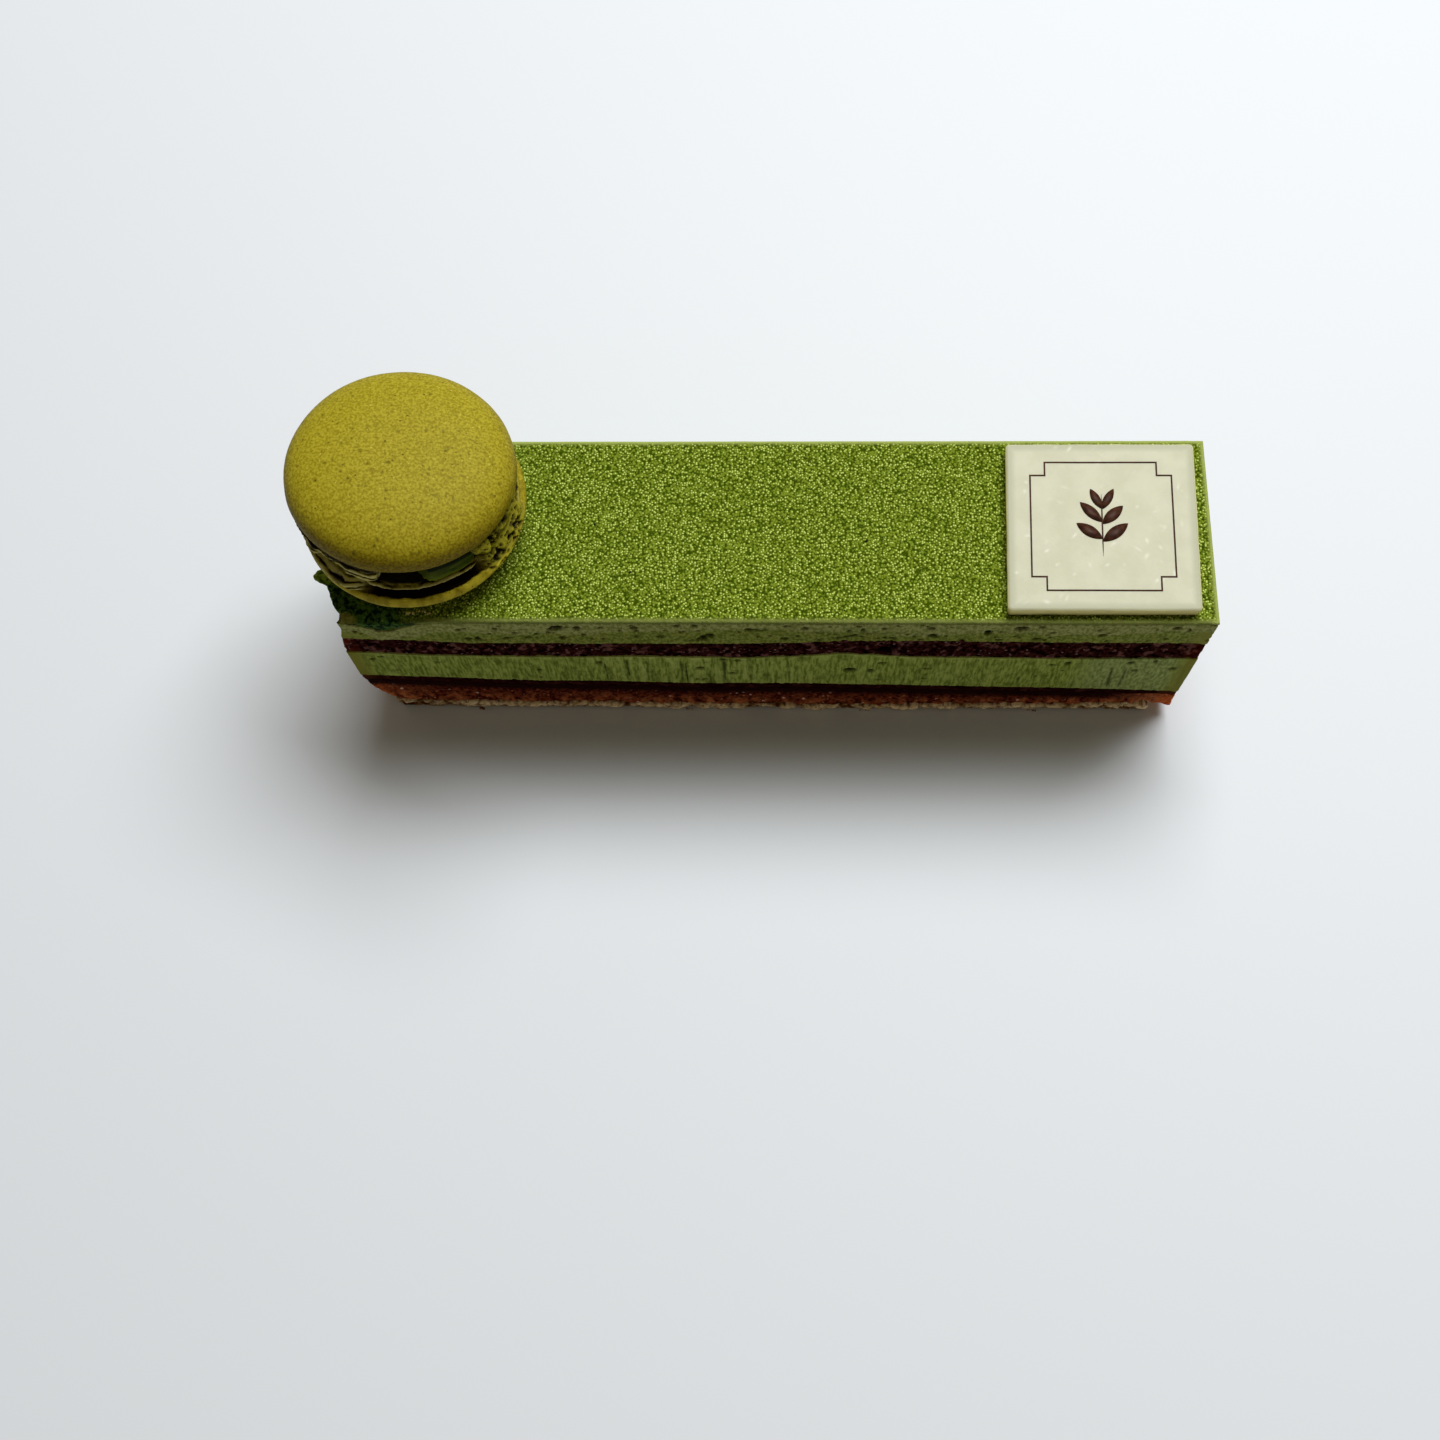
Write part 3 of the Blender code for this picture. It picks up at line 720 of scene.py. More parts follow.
crustLook = {
    "dark": (0.26, 0.145, 0.045), "light": (0.50, 0.34, 0.15), "mottleScale": 1100.0,
    "tints": {"tone": (1.0, 0.80, 0.48)}, "shadeAndDarkToneColour": (0.085, 0.020, 0.004),
    "specks": (
        (1500.0, 0.28, 0.18, 0.9, (0.90, 0.78, 0.60)), (1300.0, 0.30, 0.12, 0.9, (0.10, 0.02, 0.005)),
    ),
    "roughness": 0.9, "grainScale": 2600.0, "bumpDepth": 0.08, "specular": 0.0,
}
moistLook = {
    "dark": (0.045, 0.002, 0.001), "light": (0.210, 0.040, 0.014), "mottleScale": 1700.0,
    "spread": 0.05, "tints": {"tone": (0.52, 0.160, 0.055), "end": (0.60, 0.13, 0.03)},
    "shadeAndDarkToneColour": (0.012, 0.001, 0.0005),
    "specks": (
        # painted highlight: the first, small pale specks stand for glints on the wet crumb
        (1000.0, 0.32, 0.10, 0.9, (0.95, 0.62, 0.48)), (1500.0, 0.34, 0.14, 0.9, (0.65, 0.27, 0.12)),
        (1300.0, 0.36, 0.18, 0.85, (0.018, 0.001, 0.001)),
    ),
    "roughness": 0.6, "grainScale": 2400.0, "bumpDepth": 0.12, "specular": 0.02, "bump": 0.8,
}
ganacheLook = {
    "dark": (0.010, 0.001, 0.0005), "light": (0.026, 0.006, 0.005), "mottleScale": 900.0,
    "tints": {"tone": (0.050, 0.014, 0.010), "end": (0.06, 0.018, 0.008)}, "roughness": 0.6,
    "grainScale": 2000.0, "bumpDepth": 0.03, "specular": 0.0,
}
lowerCreamLook = {
    "dark": (0.115, 0.150, 0.014), "light": (0.300, 0.370, 0.072), "mottleScale": 2600.0,
    "stretch": (1, 1, 0.16), "tints": {"tone": (0.38, 0.44, 0.115), "end": (0.20, 0.20, 0.030)},
    "patches": {
        "grey": {
            "dark": (0.150, 0.190, 0.055), "light": (0.340, 0.400, 0.135), "mottleScale": 2600.0,
            "stretch": (1, 1, 0.3),
        },
    },
    "shadeAndDarkToneColour": (0.012, 0.018, 0.003), "spread": 0.14, "roughness": 0.7, "grainScale": 2500.0,
    "bumpDepth": 0.03, "specular": 0.02,
}
darkSpongeLook = {
    "dark": (0.004, 0.0, 0.0), "light": (0.045, 0.010, 0.008), "mottleScale": 1500.0, "spread": 0.10,
    "tints": {"tone": (0.150, 0.060, 0.050), "end": (0.20, 0.030, 0.012)},
    "shadeAndDarkToneColour": (0.001, 0.0, 0.0),
    "specks": (
        (1400.0, 0.32, 0.16, 0.9, (0.26, 0.15, 0.14)), (1200.0, 0.36, 0.2, 0.9, (0.004, 0.0, 0.0)),
    ),
    "roughness": 0.8, "grainScale": 3000.0, "bumpDepth": 0.10, "specular": 0.0, "bump": 0.8,
}
upperCreamLook = {
    "dark": (0.105, 0.130, 0.014), "light": (0.215, 0.243, 0.044), "mottleScale": 2300.0,
    "tints": {"end": (0.20, 0.21, 0.035)}, "shadeAndDarkToneColour": (0.002, 0.003, 0.0),
    "patches": {
        "tone": {
            "dark": (0.175, 0.195, 0.050), "light": (0.315, 0.335, 0.118), "mottleScale": 2300.0,
            "spread": 0.12, "stretch": (1, 1, 0.6),
        },
    },
    "spread": 0.11, "stretch": (1, 1, 0.6), "roughness": 0.7, "grainScale": 2500.0, "bumpDepth": 0.03,
    "specular": 0.02,
}

layers = (
    # name, lower and upper boundary, step, rows, relief, tuck and look, then node and slot
    ("crust", "floor", "baseTop", 0.19, 16, crustRelief, 0.12, crustLook,
     "base_crust", "crust"),
    ("moistSponge", "baseTop", "spongeTop", 0.2, 40, moistRelief, 0.12, moistLook,
     "lower_sponge", "moist_sponge"),
    ("ganache", "spongeTop", "ganacheTop", 0.22, 10, ganacheRelief, 0.12, ganacheLook,
     "ganache", "ganache"),
    ("lowerCream", "ganacheTop", "creamTop", 0.19, 56, lowerCreamRelief, 0.08, lowerCreamLook,
     "lower_cream", "cream"),
    ("darkSponge", "creamTop", "biscuitTop", 0.18, 36, darkSpongeRelief, 0.12, darkSpongeLook,
     "upper_sponge", "dark_sponge"),
    ("upperCream", "biscuitTop", "icingBase", 0.18, 38, upperCreamRelief, 0.08, upperCreamLook,
     "upper_cream", "cream"),
)
for name, low, high, step, rows, relief, tuck, look, node, slot in layers:
    short = bar["crustShort"] if name == "crust" else None
    layer = cakeLayer(name + "Piece", low, high, step, rows, relief, tuck, short)
    setPiece(layer, foodMaterial(name + "Look", look), node)
print("layers made")


def makeIcing():
    # a grid over the top: level, softly rounded at the rim, with sprayed lumps that die out on a
    # smooth lip along the edges, coarse damp lumps at the torn corner and a clump that sticks out of
    # the left rim; then a skirt to the cream
    step = icing["step"]
    columns = int(bar["length"] / step)
    rows = int(bar["width"] / step)
    u, v = np.meshgrid(np.linspace(-halfLength, halfLength, columns),
                       np.linspace(-halfWidth, halfWidth, rows))
    edge = np.minimum(halfLength - np.abs(u), halfWidth - np.abs(v))
    flat = onPlane(u, v)
    ragged = layeredNoise(flat, (1.4, 1.4, 1), 80, 3, 0.7)
    torn = np.clip(tornShare(u, v) + 0.5 * ragged * (tornShare(u, v) > 0.01), 0, 1)
    bare = bareShare(u, v)
    lip = smooth(1.3 - (edge + 0.10 * layeredNoise(flat, (2, 2, 1), 81)) / 0.62) * (1 - torn)
    nearest, _ = cellNoise(flat, icing["stippleSize"], 83)
    grains = smooth(1.05 - nearest / 0.62) * (0.55 + 0.45 * softNoise(flat, icing["stippleSize"], 85))
    swell = layeredNoise(flat, (2.2, 2.2, 1), 87, 2)
    damp = layeredNoise(flat, (1.1, 1.1, 1), 89, 4, 0.7)
    z = bar["height"] - 0.12 + icing["stipple"] * grains * (1 - 0.9 * lip) * (1 - torn) + 0.02 * swell
    z -= 0.10 * smooth(1 - edge / 0.30)
    z -= 0.3 * sag(u, v) + torn * (0.7 * np.abs(damp) + 0.05) + 0.35 * bare
    z = np.minimum(z, bar["height"])
    x, y = trimmed(u, v, z), v.copy()
    leftRim = smooth(1 - (u + halfLength) / 0.9)
    clump = np.exp(-((v - icing["flakePlace"]) / 1.15) ** 4)
    flake = icing["flakeLength"] * clump + 1.3 * smooth((v + 12.2) / 3.0) * smooth((-v - 3) / 3)
    flake += 0.40 * layeredNoise(flat, (1.0, 0.7, 1), 91, 3, 0.7) - 0.8 * smooth((-v - 11.6) / 1.1)
    x -= leftRim * flake
    bulge = 0.12 * layeredNoise(flat, (1.6, 1.6, 1), 93, 3)
    y += np.where(v < 0, -1, 1) * smooth(1 - (halfWidth - np.abs(v)) / 0.6) * bulge * (0.2 + torn)
    top = np.stack([np.minimum(x, halfLength), y, z], -1)
    index = np.arange(rows * columns).reshape(rows, columns)
    quads = np.stack([index[:-1, :-1], index[:-1, 1:], index[1:, 1:], index[1:, :-1]], -1).reshape(-1, 4)
    rim = np.concatenate([index[0, :-1], index[:-1, -1], index[-1, :0:-1], index[:0:-1, 0]])
    rimTop = top.reshape(-1, 3)[rim]
    rimU, rimV = u.ravel()[rim], v.ravel()[rim]
    outward = np.stack([np.where(np.abs(rimU) > halfLength - 1e-6, np.sign(rimU), 0),
                        np.where(np.abs(rimV) > halfWidth - 1e-6, np.sign(rimV), 0), 0 * rimU], -1)
    hang = np.clip(sag(rimU, rimV) / 1.2, 0, 1)
    bottom = boundary("icingBase", rimU, rimV) - sag(rimU, rimV)
    bottom -= hang * 0.7 * layeredNoise(rimTop * [1, 1, 0], (1.1, 1.1, 1), 96, 3, 0.7)
    levels = np.linspace(0, 1, 11)[1:]
    skirt = []
    for level in levels:
        ring = rimTop.copy()
        ring[:, 2] += (bottom - rimTop[:, 2]) * level
        rough = 0.06 * math.sin(math.pi * level) - 0.16 * level ** 3
        rough = rough + 0.40 * hang * level * (layeredNoise(ring, 0.9, 95, 3, 0.7) - 0.1)
        ring += outward * rough[:, None]
        ring[:, 0] = np.minimum(ring[:, 0], halfLength)
        skirt.append(ring)
    inner = skirt[-1] - 1.2 * outward
    skirt = np.stack(skirt + [inner])
    first, count = rows * columns, len(rim)
    below = first + np.arange(skirt.shape[0] * count).reshape(-1, count)
    stack = np.concatenate([rim[None], below])
    after = np.roll(stack, -1, axis=1)
    sides = np.stack([stack[1:], after[1:], after[:-1], stack[:-1]], -1).reshape(-1, 4)
    pole = first + skirt.shape[0] * count
    points = np.concatenate([top.reshape(-1, 3), skirt.reshape(-1, 3), [[0, 0, bar["height"] - 1.2]]])
    fan = poleFaces(stack[-1], pole, False)
    # the skirt is torn in the bell, bare at the corner and smooth lip everywhere else
    fade = np.concatenate([levels, [1]])[:, None]
    tornSide = smooth((hang + 0.35 * layeredNoise(skirt, 0.7, 98, 2) - 0.15) / 0.3) * (hang > 0.03)
    bareSide = np.clip(smooth((-rimU - 57.0) / 1.5) * (rimV < -9), 0, 1) * (1 - tornSide)
    # painted highlight: the lip and skirt along the back and right edges, which face the light, are
    # lighter
    behind = smooth((rimV - halfWidth + 1) / 0.5) + smooth((rimU - halfLength + 1) / 0.5)
    clumpSide = hill(rimV, icing["flakePlace"], 1.1) * (rimU < -59) + 0 * fade
    litEdgeTop = np.clip(lip * (smooth((v - 12.5) / 0.5) + smooth((u - 58.8) / 0.5)), 0, 1)
    litEdgeSide = np.clip(behind + 0 * fade, 0, 1)
    parts = {
        "torn": (torn * (1 - bare), tornSide),
        "bare": (bare, bareSide),
        "flake": (leftRim * clump, clumpSide),
        "litEdge": (litEdgeTop, litEdgeSide),
    }
    values = {"lip": np.concatenate([lip.ravel(), np.ones(skirt.shape[0] * count + 1)])}
    for key, (onTop, onSide) in parts.items():
        values[key] = np.concatenate([onTop.ravel(), onSide.ravel(), [0]])
    return makeMesh("icingPiece", points, [quads, sides, fan], values)


icingLook = {
    "dark": (0.026, 0.046, 0.0), "light": (0.042, 0.070, 0.0), "mottleScale": 2600.0,
    # the very dark ground and the dark specks are painted shade between the sprayed grains, the small
    # bright tips painted highlights on them
    "specks": (
        (3000.0, 0.75, 1.1, 0.85, (0.20, 0.27, 0.022)), (3000.0, 0.40, 0.62, 0.95, (0.58, 0.70, 0.19)),
        (2500.0, 0.34, 0.35, 0.85, (0.008, 0.022, 0.0)),
    ),
    "patches": {
        "lip": {
            "dark": (0.145, 0.172, 0.036), "light": (0.185, 0.215, 0.052), "mottleScale": 900.0,
            # painted highlight along the back and right edges
            "tints": {"litEdge": (0.290, 0.350, 0.085)},
        },
        "torn": {
            "dark": (0.001, 0.010, 0.005), "light": (0.050, 0.115, 0.016), "mottleScale": 1500.0,
            "spread": 0.10,
            "specks": (
                (1500.0, 0.26, 0.22, 0.9, (0.200, 0.330, 0.080)),
                (1100.0, 0.30, 0.25, 0.9, (0.006, 0.030, 0.018)),
            ),
        },
        "bare": {"dark": (0.150, 0.150, 0.024), "light": (0.270, 0.290, 0.065), "mottleScale": 1500.0},
        "flake": {"dark": (0.050, 0.100, 0.005), "light": (0.300, 0.450, 0.060), "mottleScale": 1500.0},
    },
    "roughness": 0.8, "grainScale": 3000.0, "holes": -1.0, "bumpDepth": 0.10, "specular": 0.03,
}
setPiece(makeIcing(), foodMaterial("icingLook", icingLook), "icing")
print("icing made")


# The macaron

macaron = {
    "radius": 15.4,
    "columns": 540,
    # rings of points up each profile
    "capRows": 84,
    "wallRows": 52,
    "bellyRows": 50,
    "sideRows": 100,
    "fillingRows": 26,
    "capHeight": 5.6,
    "footHeight": 2.1,
    "lowerCentre": (-48.4, 1.7),
    "upperCentre": (-48.8, 2.8),
    "upperRim": 44.3,
    "upperTilt": (-4.6, 4.0),  # degrees about X and about Y
    "lowerDome": 3.9,
    "lowerTop": 6.35,
    "restRadius": 6.0,
    "fillingRadius": 13.9,
    "gap": 0.3,
    # bearings of what shows at the front, with half widths, all in degrees from +X
    "ruffles": (-118, 20),
    "cave": (-86.5, 10.5),
    "opening": (-61, 15),
    "porous": (-22, 20),
    "bulge": (-152, 34),
    "cracked": (-78, 34),
    "chunk": (-42, 5),
    "pores": 230,
    # single holes of the feet: bearing, height in the shell's own frame, half width, half height
    # and depth
    "upperHoles": ((-21.5, -2.0, 0.75, 0.6, 1.0), (-35, -1.9, 0.45, 0.4, 1.0),
                   (-36.5, -2.8, 0.5, 0.45, 1.0), (-29, -2.4, 0.35, 0.3, 1.0),
                   (-15, -2.8, 0.4, 0.35, 1.0), (-25, -3.3, 0.45, 0.35, 1.0),
                   (-10, -2.2, 0.35, 0.3, 1.0), (-31, -3.4, 0.4, 0.3, 1.0)),
    "lowerHoles": ((-23, 5.7, 0.4, 0.4, 1.0), (-10.5, 5.4, 0.35, 0.35, 1.0), (-19, 5.3, 0.3, 0.3, 1.0),
                   (-36, 5.2, 0.3, 0.3, 1.0)),
    "mouth": (-126.5, -5.3, 1.1, 0.6, 1.0),  # the wide one, placed by z - 0.8 * r instead of z
    "thin": (-125, 8),  # where the upper foot is thin, over the wide hole
    "leftEnd": -64.0,  # nothing of it stands further out
}


def tiltMatrix():
    a, b = (math.radians(t) for t in macaron["upperTilt"])
    turn = Matrix.Rotation(b, 3, "Y") @ Matrix.Rotation(a, 3, "X")
    return np.array(turn)


def facing(angle, stretch, blend=7.0):
    # 1 where the azimuth is inside a stretch, fading out with an S at its ends
    middle, half = stretch
    away = np.abs((np.degrees(angle) - middle + 180) % 360 - 180)
    return smooth((half - away) / blend + 0.5)


def spread(profile, count):
    # the profile resampled at even distances along it
    profile = np.asarray(profile, float)
    run = np.concatenate([[0], np.cumsum(np.linalg.norm(np.diff(profile, axis=0), axis=1))])
    even = np.linspace(0, run[-1], count)
    return np.stack([np.interp(even, run, profile[:, 0]), np.interp(even, run, profile[:, 1])], -1)


def around(r, angle, z):
    # points at a radius, an azimuth and a height
    return np.stack(np.broadcast_arrays(r * np.cos(angle), r * np.sin(angle), z), -1)


def pushedOut(ring, r, amount):
    # the points moved away from their axis
    scale = (r + amount) / np.maximum(r, 1e-6)
    return ring * np.stack([scale, scale, np.ones(scale.shape)], -1)


def footRelief(points, angle, run, seed):
    # a baked foot: lobes, thin wavy strands with narrow creases between them, painted dark as shade, and,
    # where it is porous, round holes of two sizes, also painted dark; run is z - 0.8 * r, which grows
    # across the strands
    porous = np.clip(facing(angle, macaron["porous"]) + 0.5 * facing(angle, (70, 60)) + 0.15, 0, 1)
    strandy = 1 - 0.8 * facing(angle, macaron["porous"])
    lobes = layeredNoise(points, (2.6, 2.6, 1.8), seed, 3, 0.55)
    wave = 0.95 * layeredNoise(points * [1, 1, 0.4], (3.2, 3.2, 1.5), seed + 4, 4, 0.6)
    ridge = np.abs(np.sin(math.pi * (run / 1.05 + wave)))
    breaks = smooth(0.8 + 1.4 * layeredNoise(points, (1.7, 1.7, 0.8), seed + 6, 2))
    crease = smooth((0.60 - ridge) / 0.3) * breaks * strandy
    bubble = 0.0
    for pore, turn in ((1.35, 8), (0.62, 9)):
        nearest, _ = cellNoise(points, (pore, pore, 0.8 * pore), seed + turn)
        size = 0.40 + 0.14 * softNoise(points, 1.6, seed + turn + 1)
        bubble = np.maximum(bubble, smooth(1.5 * (1.2 - nearest / size)))
    bubble = bubble * smooth(2.2 * porous - 0.5)
    crag = layeredNoise(points, 0.5, seed + 12, 3, 0.7)
    out = 0.35 * lobes + 0.20 * (ridge - 0.6) * strandy - 0.08 * crease + 0.16 * crag - 0.9 * bubble
    shadeAndDarkTone = np.clip(1.2 * bubble + 1.15 * crease + 0.25 * np.clip(-2 * crag, 0, 1), 0, 1)
    light = np.clip(0.8 * smooth((ridge - 0.72) / 0.2) * strandy + 0.45 * smooth(2 * crag - 0.2), 0, 1)
    return out, shadeAndDarkTone, light


def holes(angle, z, marks, radius):
    # single holes: for each mark (bearing, height, half width, half height, depth) a steep bell
    total = np.zeros(z.shape)
    for bearing, level, wide, high, depth in marks:
        away = (np.degrees(angle) - bearing + 180) % 360 - 180
        u = np.radians(away) * radius / wide
        square = u * u + ((z - level) / high) ** 2
        total = np.maximum(total, depth * np.exp(-np.minimum(square ** 2, 40)))
    return total


def poresOnCap(ring):
    # a few hundred tiny open pores, unevenly spread
    rng = np.random.default_rng(5)
    total = np.zeros(ring.shape[:2])
    for _ in range(macaron["pores"]):
        bearing = rng.uniform(0, 2 * np.pi)
        away = 14.8 * math.sqrt(rng.random())
        size = 0.10 + 0.13 * rng.random() ** 3
        dx, dy = ring[..., 0] - away * math.cos(bearing), ring[..., 1] - away * math.sin(bearing)
        square = (dx ** 2 + dy ** 2) / size ** 2
        total += np.exp(-np.minimum(square, 40)) * (0.5 + 0.5 * rng.random())
    return np.clip(total, 0, 1) * (ring[..., 2] > 0)


def macaronUpper():
    # cap: r = radius * sin^0.86, z = rise * cos^0.86; below its rim an undercut, then the foot's
    # wall, which hangs lower where it is ruffled or porous and stands back where cream or a cave shows
    radius, rise, foot = macaron["radius"], macaron["capHeight"], macaron["footHeight"]
    angle = bearings(macaron["columns"])
    swing = around(9, angle, 0.0)
    ruffles, cave = facing(angle, macaron["ruffles"]), facing(angle, macaron["cave"], 4)
    opening, porous = facing(angle, macaron["opening"]), facing(angle, macaron["porous"])
    chunk, thin = facing(angle, macaron["chunk"], 3), facing(angle, macaron["thin"], 5)
    drop = 0.7 + 0.8 * layeredNoise(swing, 4.0, 121, 2) + 1.6 * ruffles + 1.3 * porous + 0.5 * chunk
    opened = opening * (1 - chunk)
    drop = np.clip(drop * (1 - opened) * (1 - cave), 0, 3.0) * (1 - 0.65 * thin)
    back = 1.65 * cave + 0.5 * opened
    t = np.radians(np.linspace(0, 90, 60))
    cap = np.stack([radius * np.sin(t) ** 0.86, rise * np.cos(t) ** 0.86], -1)
    cap = spread(cap[::-1], macaron["capRows"])
    ledge = [(radius - 1.5, -0.95), (radius - 1.35, -0.72), (radius - 0.5, -0.62),
             (radius - 0.1, -0.36), (radius, 0.0)]
    under = spread(ledge, 14)[:-1]
    inward = smooth((radius - under[:, :1]) / 1.2)
    wall = np.linspace(0, 1, macaron["wallRows"])[:, None]
    full = 0.75 + 0.45 * facing(angle, macaron["bulge"]) + 0.45 * ruffles
    full = full + 0.7 * chunk + 0.5 * porous - 0.6 * thin
    wallR = radius - 1.55 - back + full * np.sin(np.pi * wall) ** 0.6 * (1 - cave)
    wallZ = -0.95 - (foot - 0.95 + drop) * (1 - wall)
    floorR = np.array([0.5, radius - 5.0, radius - 4.2])[:, None] + 0 * angle
    floorZ = np.stack([0 * drop - foot, 0 * drop - foot, -foot - 0.5 * drop])
    r = np.concatenate([floorR, wallR, under[:, :1] - back * inward, cap[:, :1] + 0 * angle])
    z = np.concatenate([floorZ, wallZ, under[:, 1:] + 0 * angle, cap[:, 1:] + 0 * angle])
    ring = around(r, angle, z)
    isFoot = smooth((-0.62 - z) / 0.2)
    out, shadeAndDarkTone, light = footRelief(ring, angle, z - 0.8 * r, 103)
    hole = holes(angle, z, macaron["upperHoles"], 14.3)
    grow = out * (1 - 0.5 * cave) * (1 - 0.3 * chunk) - 0.5 * hole - 0.5 * opened
    # painted highlight: a thin light line along the cap's lower edge, which also bulges the rim slightly,
    # shown in patches and all along the front left
    rimLineShown = smooth(0.3 + 1.5 * layeredNoise(swing, 0.8, 127, 3, 0.7))
    edge = np.maximum(rimLineShown, 0.8 * facing(angle, (-130, 50)))
    rimBulgeAndHighlight = 0.4 * edge * hill(z, 0.0, 0.10) * (r > radius - 1)
    plan = ring * [1, 1, 0]
    rimWave = 0.16 * layeredNoise(plan, 5.5, 107, 2) + 0.12 * layeredNoise(plan, 0.9, 109, 3, 0.7)
    nearRim = hill(z, -0.5, 0.35) * (r > radius - 2.2)
    pores = poresOnCap(ring)
    cells, _ = cellNoise(ring, 0.6, 111)
    fine = smooth(1 - cells / 0.28) * smooth(1.6 * softNoise(ring, 1.3, 113) + 0.1)
    dome = 0.08 * layeredNoise(ring, 6.0, 115, 2) + 0.015 * layeredNoise(ring, 0.8, 117, 2)
    dome = dome - 0.04 * fine - 0.13 * pores + 0.12 * rimBulgeAndHighlight - 0.14
    ring = pushedOut(ring, r, (isFoot * grow + (1 - isFoot) * dome) * smooth(r / 6))
    ring[..., 2] += (1 - isFoot) * dome * smooth(1 - r / 15) + rimWave * nearRim
    ring[..., 2] -= 0.2 * isFoot * shadeAndDarkTone * smooth(r - 12.5)
    # painted shade: the foot is darkened in its creases and holes, in the cave, where it stands back
    # behind the opening, and in a band just under the cap's rim
    dark = np.clip(np.maximum(shadeAndDarkTone * (1 - 0.5 * chunk), hole) + 0.97 * cave + 0.9 * opened, 0, 1)
    deep = 2.0 + 0.5 * layeredNoise(swing, 0.9, 131, 3, 0.7)
    shade = 0.97 * smooth((-z - 0.25) / 0.25) * smooth((deep + z) / 0.25)
    shade = shade * (1 - chunk) * (1 - 0.6 * porous)
    shadeAndDarkToneAll = np.clip(isFoot * np.maximum(dark, shade) + (1 - isFoot) * (0.25 * fine + 0.75 * pores), 0, 1)
    # darker and browner towards the rim all round, as baked; the extra browning on the front (bearing
    # -85) is painted shade
    bakeAndShade = smooth(1 - z / 3.6) + 0.6 * facing(angle, (-85, 50), 40) * smooth(1.3 - z / 4)
    bakeAndShade = bakeAndShade * (z > -0.62) * (0.75 + 0.5 * layeredNoise(ring, 3.0, 129, 3))
    dull = (1 - cave) * (1 - 0.7 * chunk) * (1 - 0.7 * facing(angle, (25, 45)))
    values = {
        "shadeAndDarkTone": shadeAndDarkToneAll,
        "tone": np.clip(isFoot * light * dull + 0.8 * rimBulgeAndHighlight, 0, 1),
        "pale": np.clip(isFoot * (0.25 + 0.5 * light) * ruffles * (1 - cave), 0, 1),
        "bakeAndShade": np.clip(bakeAndShade, 0, 1),
        "olive": np.clip(isFoot * np.maximum(porous, chunk), 0, 1),
    }
    place = np.array([*macaron["upperCentre"], macaron["upperRim"]])
    turned = ring @ tiltMatrix().T + place
    poles = [tiltMatrix() @ np.array([0, 0, level]) + place for level in (-foot, rise - 0.14)]
    turned[..., 0] = np.maximum(turned[..., 0], macaron["leftEnd"])
    return ringBody("macaronUpperPiece", turned, values, *poles)


